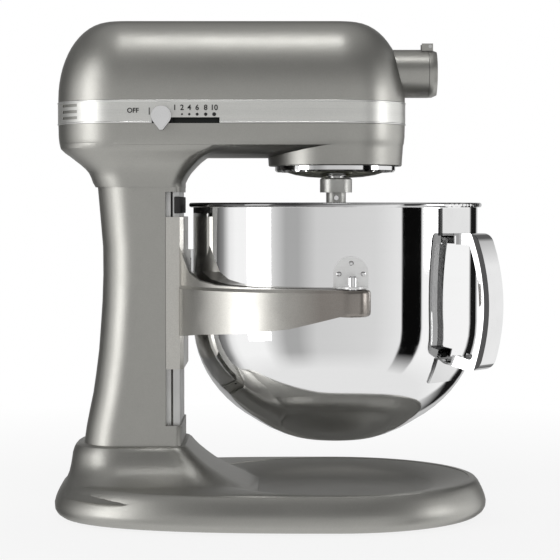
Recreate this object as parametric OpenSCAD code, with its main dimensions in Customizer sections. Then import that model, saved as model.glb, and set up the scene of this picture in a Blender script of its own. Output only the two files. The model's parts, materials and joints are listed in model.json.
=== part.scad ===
// Stand mixer with a bowl that hangs in a lifting support.
// +X points to the attachment hub, +Z up. The origin is on the table, in the
// middle of the machine's footprint. Sizes in millimetres.

/* [Base] */
// Radius of the round front of the base plate
base_front_r = 129.7; // [124:0.1:140]
// Reach of the base plate behind the bowl's axis
base_rear = 239.6; // [232:0.1:255]
// Squareness of the rear corners of the base plate
rear_fullness = 2.8; // [2.4:0.05:3.2]
// Height of the crest round the dish
base_h = 31.3; // [28:0.1:34]
// Height of the middle of the dish
dish_z = 16.5; // [15:0.1:20]
// Radius of the dish
dish_r = 88; // [80:0.5:94]
// Wall of the base casting
base_wall = 5; // [4:0.1:6]
// Height of the pedestal, where the column stands on it
pedestal_h = 62; // [58:0.5:66]
// Radius of a rubber foot
foot_r = 13; // [10:0.5:15]
// Height of a rubber foot
foot_h = 3; // [2:0.1:4]

/* [Column] */
// Distance of the column's front face behind the bowl's axis
col_front = 130; // [129.5:0.1:134]
// Half width of the column at its waist
col_half_w = 42.5; // [40:0.1:46]
// Height of the joint between column and neck
col_top = 279; // [277:0.5:281]
// Wall of the column
col_wall = 5; // [4:0.1:6]
// Depth of the recess that the bowl support slides in
recess_depth = 13; // [12:0.1:14]
// Lower end of the recess
recess_low = 79; // [76:0.5:82]
// Upper end of the recess
recess_high = 275; // [272:0.5:276]

/* [Head] */
// Half width of the head
head_half_w = 59.6; // [58:0.1:62]
// Distance of the rear round's centre behind the bowl's axis
head_rear = 177; // [172:0.5:184]
// Height of the top of the head
head_top = 419.5; // [414:0.5:426]
// Width of the head's rounded shoulder
shoulder_w = 44; // [38:0.5:48]
// Height of the head's rounded shoulder
shoulder_h = 65.5; // [60:0.5:68]
// Wall of the head
head_wall = 3.5; // [3:0.1:4.5]
// Height of the crease under the head
crease_z = 315; // [313:0.5:317]
// Height of the belly's lowest line
belly_z = 304; // [302:0.5:306]
// Lower edge of the trim band
band_z = 331.5; // [330:0.5:333]
// Height of the trim band
band_h = 19.5; // [18:0.5:20]
// How far the trim band stands proud of the head
band_proud = 0.7; // [0.4:0.1:1.2]

/* [Attachment hub] */
// Depth of the hub's axis below the head's top
hub_drop = 43.5; // [42:0.5:46]
// Outer radius of the hub
hub_r = 20.5; // [19:0.1:22]
// Radius of the hub's bore
hub_bore_r = 14.3; // [13:0.1:15]
// Distance of the hub's mouth ahead of the bowl's axis
hub_mouth = 79; // [76:0.5:84]
// Depth of the hub's bore
hub_bore_depth = 30; // [26:0.5:32]

/* [Planetary drive] */
// Outer radius of the round boss under the head
boss_r = 57; // [55:0.5:58]
// Lower face of the boss
boss_z = 297; // [295:0.5:298]
// Outer radius of the drip ring
drip_r = 51.5; // [49:0.5:53]
// Height of the drip ring
drip_h = 5; // [4:0.1:6]
// Tooth module of the planetary gears
planet_module = 1.25; // [1.2:0.01:1.28]
// Radius of the beater shaft
beater_shaft_r = 6.3; // [5.8:0.1:6.6]
// Tooth module of the spur gears
spur_module = 1.5; // [1.4:0.01:1.55]

/* [Bowl] */
// Outer radius of the bowl
bowl_r = 121.5; // [119:0.1:122.5]
// Height of the bowl's rim
rim_z = 266; // [264:0.5:268]
// Height of the bowl's bottom
bowl_low = 64.5; // [63:0.5:66]
// Height at which the bowl's wall begins to curve in
bowl_bend_z = 165; // [158:0.5:170]
// Thickness of the bowl's sheet
bowl_wall = 1.2; // [0.8:0.1:1.6]
// Radius of the rolled rim
rim_bead_r = 2; // [1.6:0.1:2.4]

/* [Handle] */
// Direction of the handle round the bowl's axis
handle_az = -37.5; // [-50:0.5:-30]
// Distance of the handle's outer face from the bowl's wall
handle_out = 39.1; // [37:0.1:44]
// Width of the handle
handle_w = 23; // [20:0.5:26]
// Thickness of the handle's sheet
handle_t = 1.8; // [1.4:0.1:2.2]

/* [Bowl support] */
// Travel of the bowl support
lift_travel = 40; // [30:0.5:41]
// Clearance of the support's arms round the bowl
arm_gap = 5.5; // [4:0.5:6]
// Thickness of the support's arms
arm_t = 14; // [12:0.5:14.5]
// Height of the arms' upper edge
arm_top = 197; // [195:0.5:198]
// Distance of the locating pins ahead of the bowl's axis
pin_x = 10; // [6:0.5:12]
// Radius of a locating pin
pin_r = 3.6; // [3:0.1:4]
// Height of a locating pin above its arm
pin_h = 11; // [8:0.5:12]

/* [Lift drive] */
// Distance of the lift shaft behind the bowl's axis
lift_x = 172; // [170:0.5:174]
// Height of the lift shaft
lift_z = 200; // [196:0.5:204]
// Angle that the lift lever turns through
lift_angle = 100; // [90:1:104]
// Radius of the lift shaft
lift_shaft_r = 6; // [5:0.1:7]
// Length of the lift lever
lever_len = 46; // [42:1:48]

/* [Speed control] */
// Distance of the speed knob behind the bowl's axis, at OFF
speed_off_x = 145; // [142:0.5:148]
// Travel of the speed knob
speed_travel = 44; // [36:0.5:46]
// Height of the speed slot's middle
speed_slot_z = 333.9; // [333.6:0.1:335]

/* [Hidden] */

// Clearance between a shaft and its bore, on the radius
run = 0.06;
// Clearance between parts that slide past each other
slide = 0.35;
// Hairline between parts that are fixed together
seat = 0.05;

paint = [0.62, 0.62, 0.6];
steel = [0.75, 0.75, 0.74];
chrome = [0.86, 0.86, 0.87];
dark = [0.16, 0.16, 0.17];

handle_reach = bowl_r + handle_out;
handle_edge = handle_reach * cos(handle_az) - handle_w / 2 * sin(handle_az);
// Distance of the bowl's axis ahead of the middle of the footprint
axis_x = (base_rear - handle_edge) / 2;

// Gear sizes
gear_teeth = 40;
idler_teeth = 20;
wheel_teeth = 32;
ring_teeth = 64;
pinion_teeth = 20;
bevel_teeth = 20;
gear_r = gear_teeth * spur_module / 2;
idler_r = idler_teeth * spur_module / 2;
wheel_module = 1.25;
wheel_r = wheel_teeth * wheel_module / 2;
worm_r = 6;
bevel_r = 15;
bevel_face = 6;
ring_r = ring_teeth * planet_module / 2;
pinion_r = pinion_teeth * planet_module / 2;
beater_offset = ring_r - pinion_r;

// Drive train places
motor_z = 356;
motor_r = 40;
motor_rear = 168;
motor_front = 82;
idler_y = worm_r + wheel_r + 0.5;
idler_x = -sqrt(pow(gear_r + idler_r, 2) - pow(idler_y, 2));
gear_z = 330;
gear_face = 8;
gear_plate_z = 342;
gear_plate_t = 4;
floor_z = belly_z + 5;
shaft_r = 7;
hub_z = head_top - hub_drop;
hub_socket = hub_mouth - hub_bore_depth;
ring_body_r = 46;
ring_z = boss_z + 1.2;
ring_h = 7.5;
carrier_r = 45.2;
carrier_low = 287;
cover_low = band_z + band_h / 2;
drip_z = boss_z - drip_h;

// Bowl support places
recess_x = -(col_front + recess_depth);
rail_half_w = 38;
rail_front = -(col_front + 1.5);
support_low = recess_low + lift_travel + 7.5;
support_high = recess_high - 21;
crank_r = lift_travel / 2 / sin(lift_angle / 2);
crank_pin_r = 4;
crank_z = lift_z + lift_travel / 2;
bracket_z = arm_top + 0.8;
bracket_t = 1.6;
arm_in_r = bowl_r + arm_gap;
arm_out_r = arm_in_r + arm_t;
pin_y = (arm_in_r + arm_out_r) / 2 - 1;
carriage_front = -(arm_in_r + 1);
arm_end_r = 14.8;
arm_end_h = 21.5;
arm_end_y = arm_out_r + 1.6 - arm_end_r;

module on_axis() {
    translate([axis_x, 0, 0]) children();
}

// ---------- outlines ----------

// Rounded corner of a plan outline
function corner(x, y, r, from, steps) =
    [for (i = [0:steps]) [x + r * cos(from + 90 * i / steps), y + r * sin(from + 90 * i / steps)]];

// Plan of the column and the pedestal: front and rear faces, half width, front and rear corner radii
function d_plan(front, rear, w, rf, rr, steps = 8) = concat(
    corner(front - rf, w - rf, rf, 0, steps),
    corner(rear + rr, w - rr, rr, 90, steps),
    corner(rear + rr, rr - w, rr, 180, steps),
    corner(front - rf, rf - w, rf, 270, steps));

// Plan of the base plate: a round front and a squarer rear
function plate_point(t, r, a) = cos(t) >= 0
    ? [r * cos(t), r * sin(t)]
    : [-a * pow(-cos(t), 2 / rear_fullness), sign(sin(t)) * r * pow(abs(sin(t)), 2 / rear_fullness)];
function plate_plan(inset, steps = 72) =
    [for (i = [0:steps - 1]) plate_point(360 * i / steps, base_front_r - inset, base_rear - inset)];

// Stack of outlines, [height, outline] each, joined into one skin
module loft(levels) {
    n = len(levels[0][1]);
    points = [for (l = levels) for (p = l[1]) [p[0], p[1], l[0]]];
    top = (len(levels) - 1) * n;
    sides = [for (k = [0:len(levels) - 2]) for (i = [0:n - 1])
        [k * n + i, (k + 1) * n + i, (k + 1) * n + (i + 1) % n, k * n + (i + 1) % n]];
    polyhedron(points, concat([[for (i = [0:n - 1]) i]], sides, [[for (i = [n - 1:-1:0]) top + i]]));
}

// Body of the head's plan: a half section run straight and round both ends
module stadium(profile, rear = -head_rear, front = 0) {
    n = len(profile);
    both = concat(profile, [for (i = [n - 1:-1:0]) if (profile[i][0] > 0) [-profile[i][0], profile[i][1]]]);
    translate([rear, 0, 0]) rotate([90, 0, 90]) linear_extrude(front - rear) polygon(both);
    translate([front, 0, 0]) rotate(-90) rotate_extrude(angle = 180, $fn = 96) polygon(profile);
    translate([rear, 0, 0]) rotate(90) rotate_extrude(angle = 180, $fn = 96) polygon(profile);
}

// Spur gear outline with straight-flanked teeth; a ring gear takes it with its teeth turned in
function gear_points(teeth, r, add, ded, tip, root) = [for (i = [0:teeth - 1]) for (s = [
        [-root / 2, r - ded], [-tip / 2, r + add], [tip / 2, r + add], [root / 2, r - ded]])
    let (a = 360 * (i + s[0]) / teeth) [s[1] * cos(a), s[1] * sin(a)]];
module gear_plan(teeth, r, phase = 0) {
    m = 2 * r / teeth;
    rotate(phase * 360 / teeth) polygon(gear_points(teeth, r, 0.85 * m, 1.1 * m, 0.22, 0.68));
}
module ring_plan(teeth, r) {
    m = 2 * r / teeth;
    polygon(gear_points(teeth, r, 1.1 * m, 0.85 * m, 0.3, 0.76));
}

// Cylinder along X or Y
module rod_x(r, from, to, fn = 64) {
    translate([from, 0, 0]) rotate([0, 90, 0]) cylinder(r = r, h = to - from, $fn = fn);
}
module rod_y(r, from, to, fn = 64) {
    translate([0, from, 0]) rotate([-90, 0, 0]) cylinder(r = r, h = to - from, $fn = fn);
}
module mirrored_y() {
    children();
    mirror([0, 1, 0]) children();
}

// ---------- base ----------

// Place of each foot and height of the boss that carries it
foot_places = [[104, 0, dish_z - 3], [34, 92, dish_z - 3], [34, -92, dish_z - 3],
    [-188, 62, 30], [-188, -62, 30]];
base_bolt_places = [for (x = [-150, -190]) for (y = [-26, 26]) [x, y]];
skirt_z = 2;
// Height and inset of each ring of the plate's rounded flank
plate_flank = [[skirt_z, 5.5], [4.5, 2.2], [8, 0.3], [12, 0], [17, 1.3], [21, 2.9], [25, 4.9],
    [28.3, 6.8], [base_h - 0.8, 8.8], [base_h, 11]];
// Height, front, rear, half width and corner radii of each ring of the pedestal
pedestal_rings = [[22, 66, 10.5, 106, 60, 64], [26, 74, 10.2, 95, 52, 62], [29.5, 81, 10, 86, 46, 58],
    [33, 88, 11.3, 77.5, 40, 54], [37.5, 96, 12.9, 69.5, 34, 50], [42.5, 104, 13.9, 63.5, 29, 47],
    [48, 111.5, 14.7, 59.5, 25, 45], [53.5, 118, 15.4, 57, 23, 43.5], [58, 122.5, 16.8, 55.2, 21, 42],
    [60.6, 124.6, 18.2, 53.8, 20, 41], [pedestal_h, 126.6, 20.6, 51.4, 18, 39]];
function pedestal_levels(inset) = [for (r = pedestal_rings)
    [r[0], d_plan(-r[1] - inset, -base_rear + r[2] + inset, r[3] - inset, r[4] - inset / 2, r[5] - inset)]];

module dish() {
    rotate_extrude($fn = 128) polygon([[0, dish_z], [dish_r - 34, dish_z + 0.7], [dish_r - 18, dish_z + 2.4],
        [dish_r - 8, dish_z + 5.4], [dish_r, dish_z + 9.2], [dish_r + 8, base_h - 3.4],
        [dish_r + 18, base_h - 1.4], [dish_r + 27, base_h - 0.4], [dish_r + 27, base_h + 9],
        [0, base_h + 9]]);
}

// Room inside the pedestal, open at the bottom
module pedestal_room() {
    levels = pedestal_levels(base_wall);
    translate([0, 0, -base_wall]) loft(concat([[dish_z - 2, levels[3][1]]],
        [for (i = [3:len(levels) - 1]) levels[i]]));
}

module base_casting() {
    color(paint) on_axis() difference() {
        union() {
            difference() {
                union() {
                    difference() {
                        loft([for (f = plate_flank) [f[0], plate_plan(f[1])]]);
                        dish();
                    }
                    loft(pedestal_levels(0));
                }
                loft([for (z = [skirt_z - 3, dish_z - base_wall]) [z, plate_plan(base_wall + 5.5)]]);
                pedestal_room();
            }
            for (p = foot_places) translate([p[0], p[1], foot_h])
                cylinder(r = foot_r + 1.5, h = p[2] - foot_h, $fn = 48);
        }
        for (p = foot_places) translate([p[0], p[1], foot_h - 1]) cylinder(r = 4 + seat, h = 7, $fn = 32);
        for (p = base_bolt_places) translate([p[0], p[1], pedestal_h - base_wall - 2])
            cylinder(r = 3 + run, h = base_wall + 4, $fn = 32);
    }
}

module rubber_feet() {
    color(dark) on_axis() for (p = foot_places) translate([p[0], p[1], 0]) {
        cylinder(r1 = foot_r - 1, r2 = foot_r, h = 1, $fn = 48);
        translate([0, 0, 1]) cylinder(r = foot_r, h = foot_h - 1, $fn = 48);
        translate([0, 0, foot_h]) cylinder(r = 4, h = 5.5, $fn = 32);
    }
}

// Bolt: head and shank along +Z from the head's top
module bolt(head_r, head_h, r, length) {
    difference() {
        cylinder(r = head_r, h = head_h, $fn = 32);
        translate([0, 0, -1]) cylinder(r = head_r * 0.5, h = 1 + head_h * 0.6, $fn = 6);
    }
    translate([0, 0, head_h]) cylinder(r = r, h = length, $fn = 32);
}

module base_bolts() {
    color(steel) on_axis() for (p = base_bolt_places)
        translate([p[0], p[1], pedestal_h - base_wall - 4.4]) bolt(5, 4, 3, base_wall + 7);
}

// ---------- column ----------

// Height, distance of the rear face and extra half width of each ring of the column
column_rings = [[pedestal_h, 214.4, 4.6], [76, 212.4, 3.8], [90, 209.7, 3], [104, 206.8, 2.3],
    [120, 204.5, 1.5], [140, 202, 0.8], [160, 200.5, 0.3], [182, 199, 0], [205, 198.2, 0],
    [228, 198.3, 0.2], [252, 200.2, 0.8], [col_top, 202.4, 2]];
column_flange = 8;

// Ring of the column's cavity, whose front stays behind the recess
function column_core(r, z) = [z, d_plan(recess_x - col_wall, -r[1] + col_wall,
    col_half_w + r[2] - col_wall, 3, 34 - col_wall)];

module column() {
    last = len(column_rings) - 1;
    color(paint) on_axis() difference() {
        loft([for (r = column_rings) [r[0], d_plan(-col_front, -r[1], col_half_w + r[2], 7, 34)]]);
        loft([for (i = [0:last]) column_core(column_rings[i],
            i == 0 ? pedestal_h + column_flange
            : i == last ? col_top - column_flange : column_rings[i][0])]);
        translate([recess_x, -60, recess_low]) cube([recess_depth + 20, 120, recess_high - recess_low]);
        // slot that the lift lug reaches through
        translate([recess_x - col_wall - 3, -9, lift_z - lift_travel / 2 - 22])
            cube([recess_depth, 18, lift_travel + 44]);
        // bore of the lift shaft's bush
        translate([-lift_x, 0, lift_z]) rod_y(lift_shaft_r + 3, 20, 60);
        // hole of the cord gland
        translate([-186, 0, 92]) rod_y(7, 20, 60, 48);
        for (p = base_bolt_places) translate([p[0], p[1], pedestal_h - 1])
            cylinder(r = 3 + seat, h = 9.5, $fn = 32);
        for (p = neck_bolt_places) translate([p[0], p[1], col_top - column_flange - 1])
            cylinder(r = 3 + run, h = column_flange + 2, $fn = 32);
        // passage of the wiring
        translate([-172, 0, col_top - column_flange - 1]) cylinder(r = 9, h = column_flange + 2, $fn = 48);
        translate([-172, 0, pedestal_h - 1]) cylinder(r = 9, h = column_flange + 2, $fn = 48);
        // counterbores of the two rail screws at the foot of the recess
        mirrored_y() translate([0, col_half_w - 12, recess_low - 5])
            rod_x(2.6, -col_front - 6, -col_front + 1, 32);
    }
}

module column_screws() {
    color(dark) on_axis() mirrored_y() translate([-col_front - 0.5, col_half_w - 12, recess_low - 5])
        rotate([0, -90, 0]) bolt(2.5, 2, 1.5, 2.6);
}

// Rail that the bowl support slides on
module guide_rail() {
    color(steel) on_axis() difference() {
        translate([recess_x, 0, recess_low]) linear_extrude(recess_high - recess_low) polygon([
            [0, -rail_half_w + 3], [4, -rail_half_w + 3], [6, -rail_half_w],
            [rail_front - recess_x, -rail_half_w], [rail_front - recess_x, rail_half_w],
            [6, rail_half_w], [4, rail_half_w - 3], [0, rail_half_w - 3]]);
        translate([recess_x - 1, -9, lift_z - lift_travel / 2 - 22])
            cube([recess_depth + 2, 18, lift_travel + 44]);
    }
}

module cord_gland() {
    color(dark) on_axis() translate([-186, 0, 92]) difference() {
        union() {
            rod_y(7 - seat, col_half_w - 5, col_half_w + 3.2, 48);
            rod_y(9.5, col_half_w + 3.2, col_half_w + 5.6, 48);
        }
        rod_y(4, col_half_w - 6, col_half_w + 7, 32);
    }
}

// ---------- head ----------

neck_bolt_places = [for (x = [-158, -182]) for (y = [-23, 23]) [x, y]];
band_bed = head_half_w - 0.9;
// Half section of the gear housing: belly, crease, flank and the bed of the trim band
housing_half = [[0, belly_z], [20, belly_z + 0.7], [36, belly_z + 2.6], [48, belly_z + 5.3],
    [head_half_w - 4.6, crease_z - 3], [head_half_w - 1.7, crease_z - 1], [head_half_w - 0.8, crease_z + 1.4],
    [head_half_w - 0.2, crease_z + 7], [head_half_w, band_z], [band_bed, band_z], [band_bed, cover_low],
    [0, cover_low]];
housing_room = [[0, floor_z], [34, floor_z + 2.5], [48, floor_z + 5.5], [head_half_w - 5.2, crease_z + 3],
    [band_bed - head_wall, band_z], [band_bed - head_wall, cover_low + 1], [0, cover_low + 1]];
// Height, front, rear, half width and rear corner radius of each ring of the neck
neck_rings = [[col_top, 129.6, 204.2, 45.2, 34], [283, 129.6, 206.6, 45.4, 35], [287, 127.6, 208, 45.8, 36],
    [291, 125.2, 210, 46.5, 37.5], [294.5, 122.2, 213, 47.3, 39], [298, 119, 217, 48.6, 41],
    [301, 116, 221, 50.2, 43.5], [304.5, 111.5, 225.5, 52.3, 46.5], [308, 104, 230.6, 54.8, 50],
    [311.5, 96, 234.4, 57, 53.5], [crease_z + 0.5, 88, 235.7, 58.2, 57]];
function neck_levels(inset) = [for (r = neck_rings)
    [r[0], d_plan(-r[1] - inset, -r[2] + inset, r[3] - inset, 12, r[4] - inset)]];

module gear_housing() {
    color(paint) on_axis() difference() {
        union() {
            difference() {
                union() {
                    stadium(housing_half);
                    loft(neck_levels(0));
                    rotate_extrude($fn = 128) polygon([[0, boss_z], [boss_r - 0.8, boss_z],
                        [boss_r, boss_z + 0.8], [boss_r + 0.6, crease_z - 8], [head_half_w - 1.4, crease_z],
                        [0, crease_z]]);
                }
                stadium(housing_room);
                translate([0, 0, column_flange]) loft(neck_levels(5));
            }
            // floor over the planetary gears, with the centre bearing's boss
            translate([0, 0, floor_z]) cylinder(r = ring_body_r + 4, h = 4, $fn = 96);
            translate([0, 0, floor_z]) cylinder(r = shaft_r + 7, h = 14, $fn = 64);
            translate([idler_x, idler_y, floor_z]) cylinder(r = shaft_r + 4, h = 14, $fn = 64);
            // saddles of the motor
            for (x = [-motor_rear + 16, -motor_front - 22]) translate([x, 1 - band_bed, crease_z - 1])
                cube([8, 2 * band_bed - 2, 8]);
            // posts of the gear plate
            for (p = plate_posts) translate([p[0], p[1], floor_z])
                cylinder(r = 4, h = gear_plate_z - floor_z, $fn = 32);
        }
        translate([0, 0, motor_z]) rod_x(motor_r + seat, -motor_rear, -motor_front, 96);
        // room of the planetary gears
        translate([0, 0, boss_z - 1]) cylinder(r = ring_body_r + seat, h = floor_z - boss_z, $fn = 128);
        translate([0, 0, boss_z - 1]) cylinder(r = shaft_r + 3 + seat, h = 40, $fn = 64);
        translate([idler_x, idler_y, floor_z + 2]) cylinder(r = shaft_r + seat, h = 20, $fn = 64);
        speed_slot();
        for (p = neck_bolt_places) translate([p[0], p[1], col_top - 1])
            cylinder(r = 3 + seat, h = column_flange + 2, $fn = 32);
        translate([-172, 0, col_top - 1]) cylinder(r = 9, h = 20, $fn = 48);
    }
}

plate_posts = [[31, 33], [31, -33], [-66, 33], [-66, -33]];

knob_y = -head_half_w - band_proud - slide;
scale_y = -band_bed + head_wall + 1;
slider_y = scale_y + 1.2 + slide;

// Slot of the speed control through the near flank
module speed_slot() {
    translate([-speed_off_x - 8, -head_half_w - 4, speed_slot_z - 2.4])
        cube([speed_travel + 12, 12, 4.8]);
}

module neck_bolts() {
    color(steel) on_axis() for (p = neck_bolt_places)
        translate([p[0], p[1], col_top - column_flange - 4.4]) bolt(5, 4, 3, column_flange + 6);
}

// Half section of the upper shell; inset makes its cavity
function shell_half(inset, low, bed) = concat(
    [[0, low]], [[bed - inset, low], [bed - inset, band_z + band_h]],
    inset == 0 ? [[head_half_w, band_z + band_h]] : [],
    [for (a = [0:6:90]) [head_half_w - shoulder_w + (shoulder_w - inset) * cos(a),
        head_top - shoulder_h + (shoulder_h - inset) * sin(a)]], [[0, head_top - inset]]);

module motor_housing() {
    color(paint) on_axis() difference() {
        stadium(shell_half(0, cover_low, band_bed));
        stadium(shell_half(head_wall, cover_low - 1, band_bed));
        translate([0, 0, hub_z]) rod_x(hub_r + seat, 30, 70, 96);
    }
}

vent_slots = [band_z + 4, band_z + 9.2, band_z + 14.4];
module trim_band() {
    inner = band_bed + seat;
    outer = head_half_w + band_proud;
    low = band_z + seat;
    high = band_z + band_h - seat;
    color(steel) on_axis() difference() {
        stadium([[0, low], [outer - 0.4, low], [outer, low + 0.4], [outer, low + 1.2],
            [outer - 0.35, low + 1.5], [outer - 0.35, high - 1.5], [outer, high - 1.2],
            [outer, high - 0.4], [outer - 0.4, high], [0, high]]);
        stadium([[0, low - 1], [inner, low - 1], [inner, high + 1], [0, high + 1]]);
        speed_slot();
        // rear louvres on both flanks
        for (z = vent_slots) for (side = [-1, 1]) translate([-head_rear, 0, z])
            rotate(side * 142) translate([head_half_w - 3, -11.5, 0]) cube([8, 23, 2.2]);
    }
}

// Scale plate behind the slot, flush with the band
module speed_scale_plate() {
    color(dark) on_axis() difference() {
        translate([-speed_off_x - 12, scale_y, speed_slot_z - 8]) cube([speed_travel + 20, 1.2, 16]);
        translate([-speed_off_x - 8, -head_half_w - 4, speed_slot_z - 2.4])
            cube([speed_travel + 12, 12, 4.8]);
    }
}

// A pointer's outline: a disc drawn down to a blunt tip
module pointer_plan(r) {
    polygon([for (i = [0:40]) let (a = -41.4 + i * 262.8 / 40) [r * cos(a), r * sin(a)],
        [-0.16 * r, -1.42 * r], [0.16 * r, -1.42 * r]]);
}

// Knob: a drop that points down, with the stem that runs in the slot
module speed_knob() {
    color(chrome) on_axis() translate([-speed_off_x, 0, speed_slot_z]) {
        translate([0, knob_y, 3.6]) rotate([90, 0, 0]) {
            linear_extrude(4.2) pointer_plan(8.2);
            linear_extrude(5.4) pointer_plan(7.2);
        }
        translate([-2.5, knob_y - 1, -1.9]) cube([5, slider_y - knob_y + 1, 3.8]);
    }
}

module speed_slider() {
    color(dark) on_axis() translate([-speed_off_x, 0, speed_slot_z]) {
        translate([-9, slider_y, -6]) cube([18, 2.5, 12]);
        translate([-3, slider_y + 2.5, -3]) cube([6, 4, 6]);
    }
}

module control_board() {
    color([0.1, 0.3, 0.18]) on_axis() {
        translate([-speed_off_x - 12, -44, speed_slot_z - 9]) cube([speed_travel + 24, 1.6, 19]);
        for (x = [-speed_off_x, -speed_off_x + speed_travel]) translate([x - 5, -46, speed_slot_z - 9])
            cube([10, 2.5, 4]);
        // stays that carry the board on the housing's floor
        for (x = [-speed_off_x - 12, -speed_off_x + speed_travel + 6]) translate([x, -44, floor_z + 5])
            cube([4, 1.6, speed_slot_z - floor_z - 14]);
    }
}

// ---------- motor ----------

module motor_can() {
    color(steel) on_axis() translate([0, 0, motor_z]) difference() {
        union() {
            rod_x(motor_r, -motor_rear, -motor_front, 96);
            rod_x(14, -motor_rear - 5, -motor_front + 5, 64);
        }
        rod_x(motor_r - 3, -motor_rear + 3, -motor_front - 3, 96);
        rod_x(10 + seat, -motor_rear - 6, -motor_front + 6, 64);
        for (a = [0:45:315]) rotate([a, 0, 0])
            translate([0, 0, 24]) rod_x(4.5, -motor_rear - 1, -motor_rear + 4, 32);
    }
}

module motor_bearings() {
    color(chrome) on_axis() translate([0, 0, motor_z])
        for (x = [-motor_rear - 4, -motor_front - 3]) difference() {
            rod_x(10, x, x + 7);
            rod_x(4 + run, x - 1, x + 8);
        }
}

module armature() {
    color([0.72, 0.45, 0.2]) on_axis() translate([0, 0, motor_z]) {
        rod_x(4, -motor_rear - 12, idler_x + 20);
        difference() {
            rod_x(24, -motor_rear + 24, -motor_front - 16);
            for (a = [0:30:330]) rotate([a, 0, 0]) translate([0, 0, 22.5])
                rod_x(2, -motor_rear + 23, -motor_front - 15, 24);
        }
        rod_x(12, -motor_rear + 10, -motor_rear + 22);
    }
}

module cooling_fan() {
    color(dark) on_axis() translate([-motor_rear - 20, 0, motor_z]) {
        difference() {
            rod_x(9, 0, 12);
            rod_x(4 + seat, -1, 13);
        }
        for (a = [0:40:320]) rotate([a, 0, 0]) translate([0, -0.8, 8.5]) rotate([0, 0, 18])
            cube([9, 1.6, 22]);
    }
}

worm_starts = 4;
// Turn of the wheel that lets its teeth into the worm's thread
wheel_phase = 7.7;
module worm() {
    lead = PI * wheel_module * worm_starts;
    color(steel) on_axis() translate([idler_x - 15, 0, motor_z]) rotate([0, 90, 0]) difference() {
        linear_extrude(30, twist = -360 * 30 / lead, $fn = 24, slices = 40)
            polygon([for (i = [0:worm_starts - 1]) for (s = [[-18, 4.9], [-7, 6.3], [7, 6.3], [18, 4.9]])
                let (a = i * 360 / worm_starts + s[0]) [s[1] * cos(a), s[1] * sin(a)]]);
        translate([0, 0, -1]) cylinder(r = 4 + seat, h = 32, $fn = 64);
    }
}

// ---------- gear train ----------

module gear_plate() {
    color(steel) on_axis() translate([0, 0, gear_plate_z]) difference() {
        hull() for (p = plate_posts) translate([p[0], p[1], 0]) cylinder(r = 8, h = gear_plate_t, $fn = 32);
        translate([0, 0, -1]) cylinder(r = shaft_r + 3 + seat, h = 6, $fn = 64);
        translate([idler_x, idler_y, -1]) cylinder(r = 5 + 2 + seat, h = 6, $fn = 64);
    }
}

module worm_wheel() {
    color([0.72, 0.55, 0.25]) on_axis() translate([idler_x, idler_y, motor_z - 5]) difference() {
        rotate(wheel_phase) linear_extrude(10, twist = -11, slices = 4) gear_plan(wheel_teeth, wheel_r, 0.5);
        translate([0, 0, -1]) cylinder(r = 5 + seat, h = 12, $fn = 64);
        for (a = [0:60:300]) rotate(a) translate([12, 0, -1]) cylinder(r = 2.6, h = 12, $fn = 32);
    }
}

module idler_shaft() {
    line = atan2(idler_y, idler_x);
    color(steel) on_axis() translate([idler_x, idler_y, 0]) {
        translate([0, 0, floor_z + 3]) cylinder(r = 5, h = motor_z + 8 - floor_z - 3, $fn = 64);
        translate([0, 0, gear_z - 0.5]) difference() {
            rotate(line + 180) linear_extrude(gear_face + 1) gear_plan(idler_teeth, idler_r, 0.5);
            translate([0, 0, -1]) cylinder(r = 4, h = gear_face + 3, $fn = 64);
        }
    }
}

module idler_bushes() {
    color([0.7, 0.5, 0.25]) on_axis() for (z = [floor_z + 2.5, gear_plate_z])
        translate([idler_x, idler_y, z]) difference() {
            cylinder(r = shaft_r, h = z > gear_plate_z - 1 ? gear_plate_t : 11, $fn = 64);
            translate([0, 0, -1]) cylinder(r = 5 + run, h = 14, $fn = 64);
        }
}

module centre_shaft() {
    color(steel) on_axis() translate([0, 0, boss_z + 1])
        cylinder(r = shaft_r, h = hub_z - bevel_r - boss_z + 3, $fn = 64);
}

module centre_gear() {
    line = atan2(idler_y, idler_x);
    color(steel) on_axis() translate([0, 0, gear_z]) difference() {
        rotate(line) linear_extrude(gear_face) gear_plan(gear_teeth, gear_r);
        translate([0, 0, -1]) cylinder(r = shaft_r + seat, h = gear_face + 2, $fn = 64);
        for (a = [0:60:300]) rotate(a) translate([18, 0, -1]) cylinder(r = 4, h = gear_face + 2, $fn = 32);
    }
}

// Mitre gear with its back at height 0 and its small end up
module mitre_gear(phase) {
    linear_extrude(bevel_face, scale = 1 - bevel_face / bevel_r) gear_plan(bevel_teeth, bevel_r, phase);
}

module centre_bevel_gear() {
    color(steel) on_axis() translate([0, 0, hub_z - bevel_r]) difference() {
        union() {
            mitre_gear(0);
            translate([0, 0, -5]) cylinder(r = 12, h = 5, $fn = 64);
        }
        translate([0, 0, -6]) cylinder(r = shaft_r + seat, h = bevel_face + 8, $fn = 64);
    }
}

module centre_bushes() {
    color([0.7, 0.5, 0.25]) on_axis() for (b = [[floor_z + 1, 13], [gear_plate_z, gear_plate_t]])
        translate([0, 0, b[0]]) difference() {
            cylinder(r = shaft_r + 3, h = b[1], $fn = 64);
            translate([0, 0, -1]) cylinder(r = shaft_r + run, h = 20, $fn = 64);
        }
}

module hub_drive_shaft() {
    color(steel) on_axis() translate([0, 0, hub_z]) difference() {
        union() {
            translate([bevel_r, 0, 0]) rotate([0, -90, 0]) mitre_gear(0.5);
            rod_x(6, bevel_r - 4, hub_socket - 9);
            rod_x(9.5, hub_socket - 9, hub_socket);
        }
        translate([hub_socket - 8, -4.2, -4.2]) cube([10, 8.4, 8.4]);
    }
}

// ---------- attachment hub ----------

hinge_r = 1.5;
hinge_z = hub_z + hub_r + 2.4;
hinge_x = hub_mouth + 1.6;

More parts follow.
